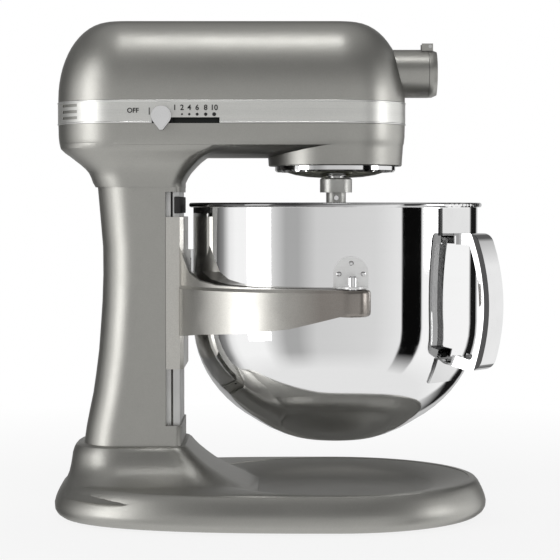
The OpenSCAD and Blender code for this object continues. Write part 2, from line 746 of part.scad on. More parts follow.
// Bearing behind the sleeve, in which the hub's drive shaft turns
module hub_seat() {
    color(steel) on_axis() translate([0, 0, hub_z]) difference() {
        union() {
            rod_x(hub_r, 42, hub_socket, 96);
            rod_x(13, 20, 43, 64);
        }
        rod_x(10, hub_socket - 9.4, hub_socket + 1, 64);
        rod_x(6 + run, 10, hub_socket, 64);
    }
}

module hub_sleeve() {
    color(paint) on_axis() translate([0, 0, hub_z]) difference() {
        union() {
            rod_x(hub_r, hub_socket, hub_mouth, 96);
            mirrored_y() translate([hub_mouth - 5.4, 5.6, hub_r - 1.4]) cube([9.4, 3, 6.2]);
        }
        rod_x(hub_bore_r, hub_socket - 1, hub_mouth + 1, 96);
        translate([hinge_x, 0, hinge_z - hub_z]) rod_y(hinge_r + seat, -10, 10, 48);
        translate([hub_mouth - 11, 0, 0]) rod_y(3 + run, 5, 30, 48);
        translate([hub_mouth + slide, -4, hub_r - 12]) cube([8, 8, 12]);
    }
}

module hub_hinge_pin() {
    color(steel) on_axis() translate([hinge_x, 0, hinge_z]) rod_y(hinge_r, -8.5, 8.5, 48);
}

module hub_cover() {
    back = hub_mouth + slide;
    color(paint) on_axis() difference() {
        union() {
            translate([back, 0, hub_z]) rotate([0, 90, 0]) {
                cylinder(r = hub_r - 0.2, h = 3, $fn = 96);
                translate([0, 0, 3]) cylinder(r1 = hub_r - 0.2, r2 = hub_r - 2, h = 4, $fn = 96);
            }
            translate([back, -5.2, hub_z + 14]) cube([2.6, 10.4, hinge_z - hub_z - 14]);
            translate([hinge_x, 0, hinge_z]) rod_y(2.4, -5.2, 5.2, 48);
        }
        translate([hinge_x, 0, hinge_z]) rod_y(hinge_r + run, -7, 7, 48);
        // room for the two ears of the hub
        mirrored_y() translate([back - 1, 5.25, hub_z + hub_r - 2.2]) cube([6.4, 4, 8]);
        // hollow back
        translate([back - 1, 0, hub_z]) rotate([0, 90, 0]) cylinder(r = hub_bore_r + 2.2, h = 3.4, $fn = 96);
    }
}

module attachment_knob() {
    color(dark) on_axis() translate([hub_mouth - 11, 0, hub_z]) difference() {
        union() {
            rod_y(3, hub_bore_r + 1, hub_r + 4, 48);
            rod_y(5.5, hub_r + 2, hub_r + 6, 48);
            rod_y(10, hub_r + 6, hub_r + 17, 64);
            rod_y(8.6, hub_r + 17, hub_r + 19, 64);
        }
        for (a = [0:30:330]) rotate([0, a, 0]) translate([11, 0, 0]) rod_y(2, hub_r + 5, hub_r + 20, 24);
    }
}

// ---------- planetary drive ----------

module ring_gear() {
    color(steel) on_axis() translate([0, 0, ring_z]) difference() {
        cylinder(r = ring_body_r, h = ring_h, $fn = 128);
        translate([0, 0, -1]) linear_extrude(ring_h + 2) ring_plan(ring_teeth, ring_r);
    }
}

module planetary_carrier() {
    color(steel) on_axis() difference() {
        union() {
            rotate_extrude($fn = 128) polygon([
                [0, carrier_low], [12, carrier_low + 0.2], [24, carrier_low + 1], [34, carrier_low + 2.6],
                [40, carrier_low + 4.4], [carrier_r, carrier_low + 7],
                [carrier_r, boss_z + 0.6], [0, boss_z + 0.6]]);
            translate([0, 0, boss_z]) cylinder(r = 12, h = floor_z - boss_z - 1.4, $fn = 64);
        }
        translate([0, 0, boss_z + 1 - seat]) cylinder(r = shaft_r + seat, h = 14, $fn = 64);
        translate([0, -beater_offset, carrier_low - 1]) {
            cylinder(r = beater_shaft_r + 2 + seat, h = 14, $fn = 64);
            cylinder(r = beater_shaft_r + 5, h = 5.4, $fn = 64);
        }
    }
}

module drip_ring() {
    color(chrome) on_axis() rotate_extrude($fn = 128) polygon([
        [carrier_r + 1, drip_z], [drip_r - 1.5, drip_z], [drip_r, drip_z + 1.5],
        [drip_r, boss_z - seat], [carrier_r + 1, boss_z - seat]]);
}

module beater_shaft() {
    color(steel) on_axis() translate([0, -beater_offset, 0]) difference() {
        translate([0, 0, 262]) cylinder(r = beater_shaft_r, h = ring_z + ring_h - 262, $fn = 64);
        translate([0, 0, beater_pin_z]) rod_y(2 + seat, -10, 10, 32);
    }
}

module planet_pinion() {
    color(steel) on_axis() translate([0, -beater_offset, ring_z]) difference() {
        rotate(-90) linear_extrude(ring_h - 0.4) gear_plan(pinion_teeth, pinion_r);
        translate([0, 0, -1]) cylinder(r = beater_shaft_r + seat, h = ring_h + 2, $fn = 64);
    }
}

module beater_bushes() {
    color([0.7, 0.5, 0.25]) on_axis() translate([0, -beater_offset, carrier_low + 4.8]) difference() {
        cylinder(r = beater_shaft_r + 2, h = 5.4, $fn = 64);
        translate([0, 0, -1]) cylinder(r = beater_shaft_r + run, h = 8, $fn = 64);
    }
}

// Rings of the coil spring that presses the beater down
module beater_spring() {
    color(steel) on_axis() translate([0, -beater_offset, 0]) for (i = [0:1])
        translate([0, 0, carrier_low + 1.9 + 1.5 * i]) rotate_extrude($fn = 64)
            translate([beater_shaft_r + 1.6, 0]) circle(r = 0.7, $fn = 24);
}

beater_pin_z = 270;
module beater_pin() {
    color(chrome) on_axis() translate([0, -beater_offset, beater_pin_z]) rod_y(2, -9.3, 9.3, 32);
}

// ---------- flat beater ----------

beater_w = 75;
beater_mid = 165;
beater_low = 84;
beater_high = 253;
beater_t = 9;
beater_rib = 10;
function beater_arc(w, mid, reach, from, to) = [for (a = [from:7.5:to])
    [w * pow(abs(cos(a)), 0.95) * sign(cos(a)), mid + reach * pow(abs(sin(a)), 0.95) * sign(sin(a))]];
// Closed outline of the beater, or of its window when inset
function beater_outline(inset) = concat(
    beater_arc(beater_w - inset, beater_mid, beater_high - beater_mid - inset * 2, 0, 180),
    beater_arc(beater_w - inset, beater_mid, beater_mid - beater_low - inset, 187.5, 352.5));

module flat_beater() {
    color([0.6, 0.6, 0.55]) on_axis() translate([0, -beater_offset, 0]) difference() {
        union() {
            rotate([90, 0, 0]) translate([0, 0, -beater_t / 2]) linear_extrude(beater_t) {
                difference() {
                    polygon(beater_outline(0));
                    difference() {
                        polygon(beater_outline(beater_rib));
                        translate([-4.5, 0]) square([9, 300]);
                        translate([-100, 120]) square([200, 8]);
                        for (s = [-1, 1]) translate([0, beater_high - 47]) rotate(s * 36)
                            translate([s > 0 ? -80 : 0, -4]) square([80, 8]);
                    }
                }
            }
            translate([0, 0, 236]) cylinder(r1 = 6.5, r2 = 8.3, h = 14, $fn = 64);
            translate([0, 0, 250]) cylinder(r = 8.3, h = carrier_low - 262.4, $fn = 64);
            translate([0, 0, carrier_low - 12.4]) cylinder(r = 13.5, h = 10.9, $fn = 64);
            translate([0, 0, carrier_low - 1.5]) cylinder(r1 = 13.5, r2 = 12.3, h = 1.2, $fn = 64);
        }
        translate([0, 0, 258]) cylinder(r = beater_shaft_r + 0.1, h = 40, $fn = 64);
        translate([0, 0, beater_pin_z]) rod_y(2.4, -15, 15, 32);
    }
}

// ---------- bowl support and its lift ----------

module arm_side() {
    top = arm_top;
    root = -arm_in_r;
    rotate([90, 0, 0]) translate([0, 0, -150]) linear_extrude(300) polygon([
        [root - 23, top + 40], [rail_front, top + 33], [root, top + 22], [root + 5, top + 11],
        [root + 14, top + 5], [root + 28, top + 2], [root + 57, top + 0.6], [pin_x, top],
        [pin_x, top - arm_end_h], [pin_x - 10, top - arm_end_h + 0.5], [-40, top - 31], [-81, top - 36],
        [root + 15, top - 38.5], [rail_front, top - 42], [root - 23, top - 50]]);
}

module bowl_support() {
    color(steel) on_axis() difference() {
        union() {
            intersection() {
                rotate_extrude($fn = 128) polygon([[arm_in_r, arm_top - 60], [arm_out_r - 2, arm_top - 60],
                    [arm_out_r, arm_top - 52], [arm_out_r, arm_top - 2.5], [arm_out_r - 2.5, arm_top],
                    [arm_out_r - 2.5, arm_top + 60], [arm_in_r, arm_top + 60]]);
                arm_side();
                translate([rail_front + slide, -200, 0]) cube([200, 400, 400]);
            }
            // round bosses at the arms' ends
            difference() {
                mirrored_y() translate([pin_x, arm_end_y, arm_top - arm_end_h]) rotate_extrude($fn = 96)
                    polygon([[0, 0], [arm_end_r - 3.5, 0], [arm_end_r - 1.4, 0.8], [arm_end_r - 0.3, 2.2],
                        [arm_end_r, 4], [arm_end_r, arm_end_h - 3.2], [arm_end_r - 0.4, arm_end_h - 1.5],
                        [arm_end_r - 1.3, arm_end_h - 0.4], [arm_end_r - 2.8, arm_end_h], [0, arm_end_h]]);
                translate([0, 0, arm_top - 60]) cylinder(r = arm_in_r, h = 90, $fn = 128);
            }
            // carriage: a channel round the guide rail
            translate([0, 0, support_low]) linear_extrude(support_high - support_low) difference() {
                polygon([
                    [recess_x + slide, -col_half_w - 1.5], [carriage_front - 3, -col_half_w - 1.5],
                    [carriage_front, -col_half_w + 2], [carriage_front, col_half_w - 2],
                    [carriage_front - 3, col_half_w + 1.5], [recess_x + slide, col_half_w + 1.5]]);
                translate([recess_x - 1, -rail_half_w - slide])
                    square([rail_front + slide - recess_x + 1, 2 * (rail_half_w + slide)]);
            }
            // lug that the crank's pin lifts
            difference() {
                translate([-lift_x + 8, -3, crank_z - 14]) cube([lift_x - 8 + rail_front + slide + 1, 6, 28]);
                translate([-lift_x + 4, -4, crank_z - crank_pin_r - 2]) cube([30, 8, 2 * crank_pin_r + 4]);
            }
        }
        mirrored_y() translate([pin_x, pin_y, arm_top - 12]) cylinder(r = pin_r + seat, h = 20, $fn = 48);
        // bed of the latch
        translate([carriage_front, -11, latch_z - 13]) cube([8, 22, 60]);
        for (z = latch_rivets) translate([0, 0, z])
            rod_x(2 + seat, carriage_front - 3.3, carriage_front + 2, 32);
    }
}

module locating_pins() {
    color(chrome) on_axis() mirrored_y() translate([pin_x, pin_y, arm_top - 11]) {
        cylinder(r = pin_r, h = 11 + pin_h - 1.4, $fn = 48);
        translate([0, 0, 11 + pin_h - 1.4]) cylinder(r1 = pin_r, r2 = pin_r - 1.4, h = 1.4, $fn = 48);
    }
}

latch_z = 216;
latch_rivets = [latch_z + 14, latch_z + 22];
rear_pin_r = 2.6;
// Spring clip whose two leaves grip the bowl's rear pin, open at the top
module bowl_latch() {
    color(steel) on_axis() {
        translate([carriage_front, -9, latch_z - 10]) cube([1, 18, 36]);
        mirrored_y() translate([carriage_front, rear_pin_r + slide, latch_z - 8]) cube([4, 0.8, 18]);
        for (z = latch_rivets) translate([0, 0, z]) rod_x(2, carriage_front - 2.8, carriage_front, 32);
    }
}

// Torsion spring that helps to lift the support, drawn as its turns round the lift shaft
module lift_spring() {
    wire_r = 0.9;
    color(steel) on_axis() for (i = [0:7]) translate([-lift_x, 12 + 2 * wire_r * 1.1 * i, lift_z])
        rotate([90, 0, 0]) rotate_extrude($fn = 48)
            translate([lift_shaft_r + run + wire_r, 0]) circle(r = wire_r, $fn = 24);
}

module lift_shaft() {
    up = lift_angle / 2;
    color(steel) on_axis() translate([-lift_x, 0, lift_z]) {
        rod_y(lift_shaft_r, -10, 62);
        rotate([0, -up, 0]) {
            hull() {
                rod_y(9, 4, 8.5, 32);
                translate([crank_r, 0, 0]) rod_y(6, 4, 8.5, 32);
            }
            translate([crank_r, 0, 0]) rod_y(crank_pin_r, -4, 5, 48);
        }
    }
}

module lift_bush() {
    color(dark) on_axis() translate([-lift_x, 0, lift_z]) difference() {
        union() {
            rod_y(lift_shaft_r + 3 - seat, col_half_w - 6, col_half_w + 1, 64);
            rod_y(lift_shaft_r + 5, col_half_w + 1, col_half_w + 3, 64);
        }
        rod_y(lift_shaft_r + run, col_half_w - 8, col_half_w + 5, 64);
    }
}

lever_lean = -4;
module lift_lever() {
    color(steel) on_axis() translate([-lift_x, 0, lift_z]) difference() {
        rotate([0, lever_lean, 0]) {
            hull() {
                rod_y(11, 50, 56, 32);
                translate([0, 0, lever_len]) rod_y(7, 50, 56, 32);
            }
        }
        rod_y(lift_shaft_r + seat, 40, 60, 64);
        rotate([0, lever_lean, 0]) translate([0, 0, lever_len]) rod_y(3 + seat, 40, 60, 48);
    }
}

module lift_knob() {
    color(dark) on_axis() translate([-lift_x, 0, lift_z]) rotate([0, lever_lean, 0])
            translate([0, 0, lever_len]) {
        rod_y(3, 50.2, 58, 48);
        translate([0, 57, 0]) rotate([-90, 0, 0]) rotate_extrude($fn = 64) polygon([[0, 0], [7, 0], [8.2, 3],
            [9.6, 9], [10.6, 18], [10.4, 24], [8.8, 28], [5, 30.4], [0, 31]]);
    }
}

// ---------- bowl ----------

bowl_curve = 2.06;
function bowl_at(z, out) = z >= bowl_bend_z ? bowl_r - out
    : let (depth = (bowl_bend_z - z) / (bowl_bend_z - bowl_low - out))
        (bowl_r - out) * pow(1 - pow(depth, bowl_curve), 1 / bowl_curve);
// Points up the bowl's wall, at equal angles of its curve
function bowl_line(out) = [for (a = [56:-5:6])
    let (z = bowl_bend_z - (bowl_bend_z - bowl_low - out) * sin(a)) [bowl_at(z, out), z]];
// Radius and height above the lowest ring of the bowl's slightly punted bottom
bowl_foot = [[0, 0.8], [24, 0.5], [29, 0], [36, 1.4], [45.5, 4.5], [57.5, 9.8], [66.2, 14.8]];

module bowl() {
    n = len(bowl_foot);
    inner = bowl_line(bowl_wall);
    outer = bowl_line(0);
    color(chrome) on_axis() {
        rotate_extrude($fn = 180) polygon(concat([for (f = bowl_foot) [f[0], bowl_low + f[1]]], outer,
            [[bowl_r, bowl_bend_z], [bowl_r, rim_z - rim_bead_r], [bowl_r - bowl_wall, rim_z - rim_bead_r],
            [bowl_r - bowl_wall, bowl_bend_z]], [for (i = [len(inner) - 1:-1:0]) inner[i]],
            [for (i = [n - 1:-1:0]) [bowl_foot[i][0], bowl_low + bowl_foot[i][1] + bowl_wall]]));
        translate([0, 0, rim_z - rim_bead_r]) rotate_extrude($fn = 180)
            translate([bowl_r + rim_bead_r - 0.4, 0]) circle(r = rim_bead_r, $fn = 32);
    }
}

// Sheet that lies on the bowl's wall over an arc
module wall_tab(low, high, width) {
    half = width / 2 / bowl_r * 180 / PI;
    steps = 6;
    zs = [for (i = [0:steps]) low + (high - low) * i / steps];
    rotate(-half) rotate_extrude(angle = 2 * half, $fn = 180) polygon(concat(
        [for (z = zs) [bowl_at(z, 0) + 0.1, z]],
        [for (i = [steps:-1:0]) [bowl_at(zs[i], 0) + 0.1 + handle_t, zs[i]]]));
}

bracket_half_w = 14;
bracket_az = -atan2(pin_y, pin_x);
module bowl_brackets() {
    color(chrome) on_axis() mirrored_y() rotate(bracket_az) {
        intersection() {
            wall_tab(bracket_z, bracket_z + 26, 2 * bracket_half_w);
            union() {
                translate([100, 0, bracket_z + 11.5]) rod_x(bracket_half_w, 0, 60, 64);
                translate([100, -bracket_half_w, bracket_z]) cube([60, 2 * bracket_half_w, 11.5]);
            }
        }
        difference() {
            translate([0, 0, bracket_z]) linear_extrude(bracket_t) difference() {
                union() {
                    translate([100, -bracket_half_w + 2])
                        square([norm([pin_x, pin_y]) - 98, 2 * bracket_half_w - 4]);
                    translate([norm([pin_x, pin_y]) + 1.5, 0]) circle(r = bracket_half_w - 5.5, $fn = 64);
                }
                circle(r = bowl_r + 0.1, $fn = 180);
            }
            translate([norm([pin_x, pin_y]), 0, bracket_z - 1]) cylinder(r = pin_r + slide, h = 4, $fn = 48);
        }
    }
}

module bracket_rivets() {
    color(chrome) on_axis() mirrored_y() rotate(bracket_az)
        for (p = [[0, 20], [-9.5, 11.5], [9.5, 11.5]]) rotate(p[0] / bowl_r * 180 / PI)
            translate([bowl_r + 0.1 + handle_t, 0, bracket_z + p[1]]) rotate([0, 90, 0]) {
                cylinder(r = 1.9, h = 0.4, $fn = 32);
                translate([0, 0, 0.4]) cylinder(r1 = 1.9, r2 = 1, h = 0.5, $fn = 32);
            }
}

module rear_bowl_pin() {
    color(chrome) on_axis() rotate(180) {
        difference() {
            wall_tab(latch_z - 10, latch_z + 10, 16);
            translate([0, 0, latch_z]) rod_x(1, 100, 160, 32);
        }
        translate([0, 0, latch_z]) rod_x(rear_pin_r, bowl_r + handle_t - 0.3, -carriage_front - 1.4, 48);
    }
}

// ---------- bowl handle ----------

// The grip's outer face bows out from its foot to its top
grip_mid = 182;
grip_bow = 0.00353;
grip_top = [234.4, 10];
grip_foot = [138.1, 12];
grip_lip = 9;
leg_slope = 12;
function grip_turn(z) = -2 * grip_bow * (z - grip_mid);
// Point of the grip at a height, moved in by an inset square to the face
function grip_at(z, inset) = let (s = grip_turn(z), n = norm([1, s]))
    [handle_reach - grip_bow * pow(z - grip_mid, 2) - inset / n, z + inset * s / n];
function arc(centre, r, from, to, steps = 8) = [for (i = [0:steps])
    let (a = from + (to - from) * i / steps) [centre[0] + r * cos(a), centre[1] + r * sin(a)]];
grip_high = grip_at(grip_top[0], grip_top[1])[1] + grip_top[1];

module grip_window(inset) {
    inner_r = bowl_r - 20;
    foot = arc(grip_at(grip_foot[0], grip_foot[1]), grip_foot[1] - inset, -90 - leg_slope,
        -atan(grip_turn(grip_foot[0])));
    polygon(concat([[inner_r, foot[0][1] + (foot[0][0] - inner_r) * tan(leg_slope)]], foot,
        [for (z = [grip_foot[0] + 6:8:grip_top[0] - 6]) grip_at(z, inset)],
        arc(grip_at(grip_top[0], grip_top[1]), grip_top[1] - inset, -atan(grip_turn(grip_top[0])), 90),
        [[inner_r, grip_high - inset]]));
}
module grip_band(depth, gap) {
    difference() {
        grip_window(0);
        grip_window(depth);
        polygon(concat([[0, 90]], [for (z = [90:5:270]) [bowl_at(z, 0) + gap, z]], [[0, 270]]));
    }
}

module bowl_handle() {
    tab_w = 42;
    color(chrome) on_axis() rotate(handle_az) {
        wall_tab(grip_high - handle_t, rim_z - 2 * rim_bead_r - 0.6, tab_w);
        wall_tab(grip_foot[0] - 20, grip_foot[0], tab_w);
        // channel of the grip: outer band and two rolled lips
        rotate([90, 0, 0]) translate([0, 0, -handle_w / 2]) linear_extrude(handle_w) grip_band(handle_t, 0.2);
        mirrored_y() translate([0, handle_w / 2, 0]) rotate([90, 0, 0]) linear_extrude(handle_t)
            grip_band(grip_lip, 8);
    }
}

base_casting();
rubber_feet();
base_bolts();
column();
column_screws();
guide_rail();
cord_gland();
gear_housing();
neck_bolts();
motor_housing();
trim_band();
speed_scale_plate();
speed_knob();
speed_slider();
control_board();
motor_can();
motor_bearings();
armature();
cooling_fan();
worm();
gear_plate();
worm_wheel();
idler_shaft();
idler_bushes();
centre_shaft();
centre_gear();
centre_bevel_gear();
centre_bushes();
hub_seat();
hub_sleeve();
hub_drive_shaft();
hub_hinge_pin();
hub_cover();
attachment_knob();
ring_gear();
planetary_carrier();
drip_ring();
beater_shaft();
planet_pinion();
beater_bushes();
beater_spring();
beater_pin();
flat_beater();
bowl_support();
locating_pins();
bowl_latch();
lift_spring();
lift_shaft();
lift_bush();
lift_lever();
lift_knob();
bowl();
bowl_brackets();
bracket_rivets();
rear_bowl_pin();
bowl_handle();
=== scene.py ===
"""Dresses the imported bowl-lift stand mixer: finishes, small trim and a plain studio."""

import json
import math

import bpy
from bpy.props import FloatProperty, FloatVectorProperty, PointerProperty
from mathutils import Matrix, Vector


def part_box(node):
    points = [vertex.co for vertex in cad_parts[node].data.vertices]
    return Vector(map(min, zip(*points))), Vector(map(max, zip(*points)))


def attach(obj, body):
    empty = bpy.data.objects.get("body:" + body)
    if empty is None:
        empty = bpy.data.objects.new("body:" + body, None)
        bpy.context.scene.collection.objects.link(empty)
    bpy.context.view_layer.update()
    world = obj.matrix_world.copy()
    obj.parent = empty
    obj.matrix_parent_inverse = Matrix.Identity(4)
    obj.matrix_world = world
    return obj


bl_info = {
    "name": "Stand Mixer Dressing",
    "version": (1, 0, 0),
    "blender": (4, 5, 0),
    "location": "3D View > Sidebar > Mixer",
    "description": "Finishes, small trim and a plain studio for a bowl-lift stand mixer",
    "category": "Object",
}

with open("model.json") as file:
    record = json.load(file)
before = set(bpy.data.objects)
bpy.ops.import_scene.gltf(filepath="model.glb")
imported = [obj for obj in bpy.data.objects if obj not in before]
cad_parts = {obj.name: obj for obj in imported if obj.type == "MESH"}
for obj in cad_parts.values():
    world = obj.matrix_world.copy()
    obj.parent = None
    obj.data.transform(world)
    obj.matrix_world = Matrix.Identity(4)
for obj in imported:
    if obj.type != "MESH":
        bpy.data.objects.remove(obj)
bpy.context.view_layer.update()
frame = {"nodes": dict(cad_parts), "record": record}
NODES = frame["nodes"]
MM = 0.001

# The bowl's handle, in degrees about the bowl's axis and in metres
HANDLE_TURN = -37.5
GRIP_REACH = 0.1606
GRIP_HALF_WIDTH = 0.0115
GRIP_MIDDLE = 0.182
GRIP_BOW = 3.53
TAB_HALF_WIDTH = 0.0212
TAB_OUTSIDE = 0.1262
RIM_BEAD = 0.004
TAB_THICKNESS = 0.0018

# The lines that the marks of the speed control stand on, and their places along it from the knob's middle
LETTER_LINE = 0.3418
NUMBER_LINE = 0.3442
DOT_LINE = 0.3388
LETTERS = (("OFF", -23.5), ("|", -10.0))
NUMBERS = (("1", 11), ("2", 17), ("4", 23), ("6", 29.5), ("8", 36.5), ("10", 43.5))


# ---------- helpers for meshes ----------

def deselect():
    if bpy.context.object and bpy.context.object.mode != "OBJECT":
        bpy.ops.object.mode_set(mode="OBJECT")
    bpy.ops.object.select_all(action="DESELECT")


def pick(piece):
    deselect()
    piece.select_set(True)
    bpy.context.view_layer.objects.active = piece


def settle(piece, name, material, body):
    """Names a finished piece, puts its place in its mesh, gives it its finish and its body."""
    pick(piece)
    if piece.type != "MESH":
        bpy.ops.object.convert(target="MESH")
        piece = bpy.context.object
    bpy.ops.object.transform_apply(location=True, rotation=True, scale=True)
    piece.name = name
    piece.data.name = name
    piece.data.materials.clear()
    piece.data.materials.append(bpy.data.materials[material + "_finish"])
    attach(piece, body)
    return piece


# ---------- helpers for materials ----------

def socket(tree, name, kind, into=True, value=None):
    made = tree.interface.new_socket(name=name, in_out="INPUT" if into else "OUTPUT", socket_type=kind)
    if value is not None:
        made.default_value = value
    return made


def start_group(name, inputs, outputs):
    tree = bpy.data.node_groups.new(name, "ShaderNodeTree")
    for label, kind, value in inputs:
        socket(tree, label, kind, True, value)
    for label, kind in outputs:
        socket(tree, label, kind, False)
    entry = tree.nodes.new("NodeGroupInput")
    leave = tree.nodes.new("NodeGroupOutput")
    return tree, entry, leave


def add(tree, kind, **settings):
    made = tree.nodes.new(kind)
    for key, value in settings.items():
        setattr(made, key, value)
    return made


def feed(tree, target, source):
    """Sets a socket to a plain value, or links it to another socket."""
    if isinstance(source, bpy.types.NodeSocket):
        tree.links.new(source, target)
    else:
        target.default_value = source


def maths(tree, operation, a, b=0.0, clamp=False):
    made = add(tree, "ShaderNodeMath", operation=operation, use_clamp=clamp)
    feed(tree, made.inputs[0], a)
    feed(tree, made.inputs[1], b)
    return made.outputs[0]


def stretch(tree, value, low, high, to_low=0.0, to_high=1.0):
    """Maps low..high onto to_low..to_high, held at both ends."""
    made = add(tree, "ShaderNodeMapRange")
    feed(tree, made.inputs["Value"], value)
    for name, item in (("From Min", low), ("From Max", high), ("To Min", to_low), ("To Max", to_high)):
        feed(tree, made.inputs[name], item)
    return made.outputs["Result"]


def noise(tree, where, scale, detail=2.0, rough=0.5):
    made = add(tree, "ShaderNodeTexNoise")
    feed(tree, made.inputs["Vector"], where)
    feed(tree, made.inputs["Scale"], scale)
    made.inputs["Detail"].default_value = detail
    made.inputs["Roughness"].default_value = rough
    return made


def product(tree, *values):
    """All the values times each other."""
    result = values[0]
    for value in values[1:]:
        result = maths(tree, "MULTIPLY", result, value)
    return result


def mixed(tree, share, first, second, blend="MIX"):
    made = add(tree, "ShaderNodeMix", data_type="RGBA", blend_type=blend)
    feed(tree, made.inputs["Factor"], share)
    feed(tree, made.inputs["A"], first)
    feed(tree, made.inputs["B"], second)
    return made.outputs["Result"]


# ---------- effects that more than one finish uses ----------

def make_grain():
    """Fine even grain: a height for a bump and a shade that wanders a little."""
    tree, entry, leave = start_group(
        "Fine Grain",
        [("Place", "NodeSocketVector", None), ("Grain Size", "NodeSocketFloat", 0.4),
         ("Contrast", "NodeSocketFloat", 0.1)],
        [("Height", "NodeSocketFloat"), ("Shade", "NodeSocketFloat")],
    )
    scale = maths(tree, "DIVIDE", 1000.0, entry.outputs["Grain Size"])
    fine = noise(tree, entry.outputs["Place"], scale, 3.0)
    broad = noise(tree, entry.outputs["Place"], maths(tree, "MULTIPLY", scale, 0.05), 2.0)
    most = product(tree, fine.outputs["Fac"], 0.6)
    both = maths(tree, "ADD", most, product(tree, broad.outputs["Fac"], 0.4))
    swing = product(tree, maths(tree, "SUBTRACT", both, 0.5), entry.outputs["Contrast"])
    feed(tree, leave.inputs["Height"], fine.outputs["Fac"])
    feed(tree, leave.inputs["Shade"], maths(tree, "ADD", swing, 1.0))
    return tree


def make_flake():
    """Metal flake in a paint: small cells, each with a height and a shade of its own."""
    tree, entry, leave = start_group(
        "Metal Flake",
        [("Place", "NodeSocketVector", None), ("Flake Size", "NodeSocketFloat", 0.5),
         ("Sparkle", "NodeSocketFloat", 0.2)],
        [("Height", "NodeSocketFloat"), ("Shade", "NodeSocketFloat")],
    )
    cells = add(tree, "ShaderNodeTexVoronoi", feature="F1")
    feed(tree, cells.inputs["Vector"], entry.outputs["Place"])
    feed(tree, cells.inputs["Scale"], maths(tree, "DIVIDE", 1000.0, entry.outputs["Flake Size"]))
    split = add(tree, "ShaderNodeSeparateColor")
    feed(tree, split.inputs["Color"], cells.outputs["Color"])
    swing = product(tree, maths(tree, "SUBTRACT", split.outputs["Red"], 0.5), entry.outputs["Sparkle"])
    feed(tree, leave.inputs["Height"], split.outputs["Green"])
    feed(tree, leave.inputs["Shade"], maths(tree, "ADD", swing, 1.0))
    return tree


def make_handling():
    """Broad soft patches where hands and cloths have been."""
    tree, entry, leave = start_group(
        "Handling Marks",
        [("Place", "NodeSocketVector", None), ("Patch Size", "NodeSocketFloat", 60.0),
         ("Amount", "NodeSocketFloat", 0.1)],
        [("Mask", "NodeSocketFloat"), ("Rough", "NodeSocketFloat")],
    )
    scale = maths(tree, "DIVIDE", 1000.0, entry.outputs["Patch Size"])
    patch = noise(tree, entry.outputs["Place"], scale, 4.0, 0.6)
    mask = stretch(tree, patch.outputs["Fac"], 0.42, 0.68)
    feed(tree, leave.inputs["Mask"], mask)
    feed(tree, leave.inputs["Rough"], maths(tree, "MULTIPLY", mask, entry.outputs["Amount"]))
    return tree


def make_tool_lines():
    """Fine lines left by turning or brushing: the first input runs across them."""
    tree, entry, leave = start_group(
        "Tool Lines",
        [("Across", "NodeSocketFloat", 0.0), ("Along", "NodeSocketFloat", 0.0),
         ("Spacing", "NodeSocketFloat", 0.3)],
        [("Height", "NodeSocketFloat"), ("Shade", "NodeSocketFloat")],
    )
    place = add(tree, "ShaderNodeCombineXYZ")
    across = maths(tree, "MULTIPLY", entry.outputs["Across"], 1000.0)
    feed(tree, place.inputs["X"], maths(tree, "DIVIDE", across, entry.outputs["Spacing"]))
    feed(tree, place.inputs["Y"], maths(tree, "MULTIPLY", entry.outputs["Along"], 12.0))
    lines = noise(tree, place.outputs["Vector"], 1.0, 2.0)
    broad = noise(tree, place.outputs["Vector"], 0.06, 2.0)
    feed(tree, leave.inputs["Height"], lines.outputs["Fac"])
    half_lines = product(tree, lines.outputs["Fac"], 0.5)
    both = maths(tree, "ADD", half_lines, product(tree, broad.outputs["Fac"], 0.5))
    feed(tree, leave.inputs["Shade"], stretch(tree, both, 0.3, 0.7, 0.93, 1.05))
    return tree


EFFECTS = {
    "Fine Grain": make_grain,
    "Metal Flake": make_flake,
    "Handling Marks": make_handling,
    "Tool Lines": make_tool_lines,
}


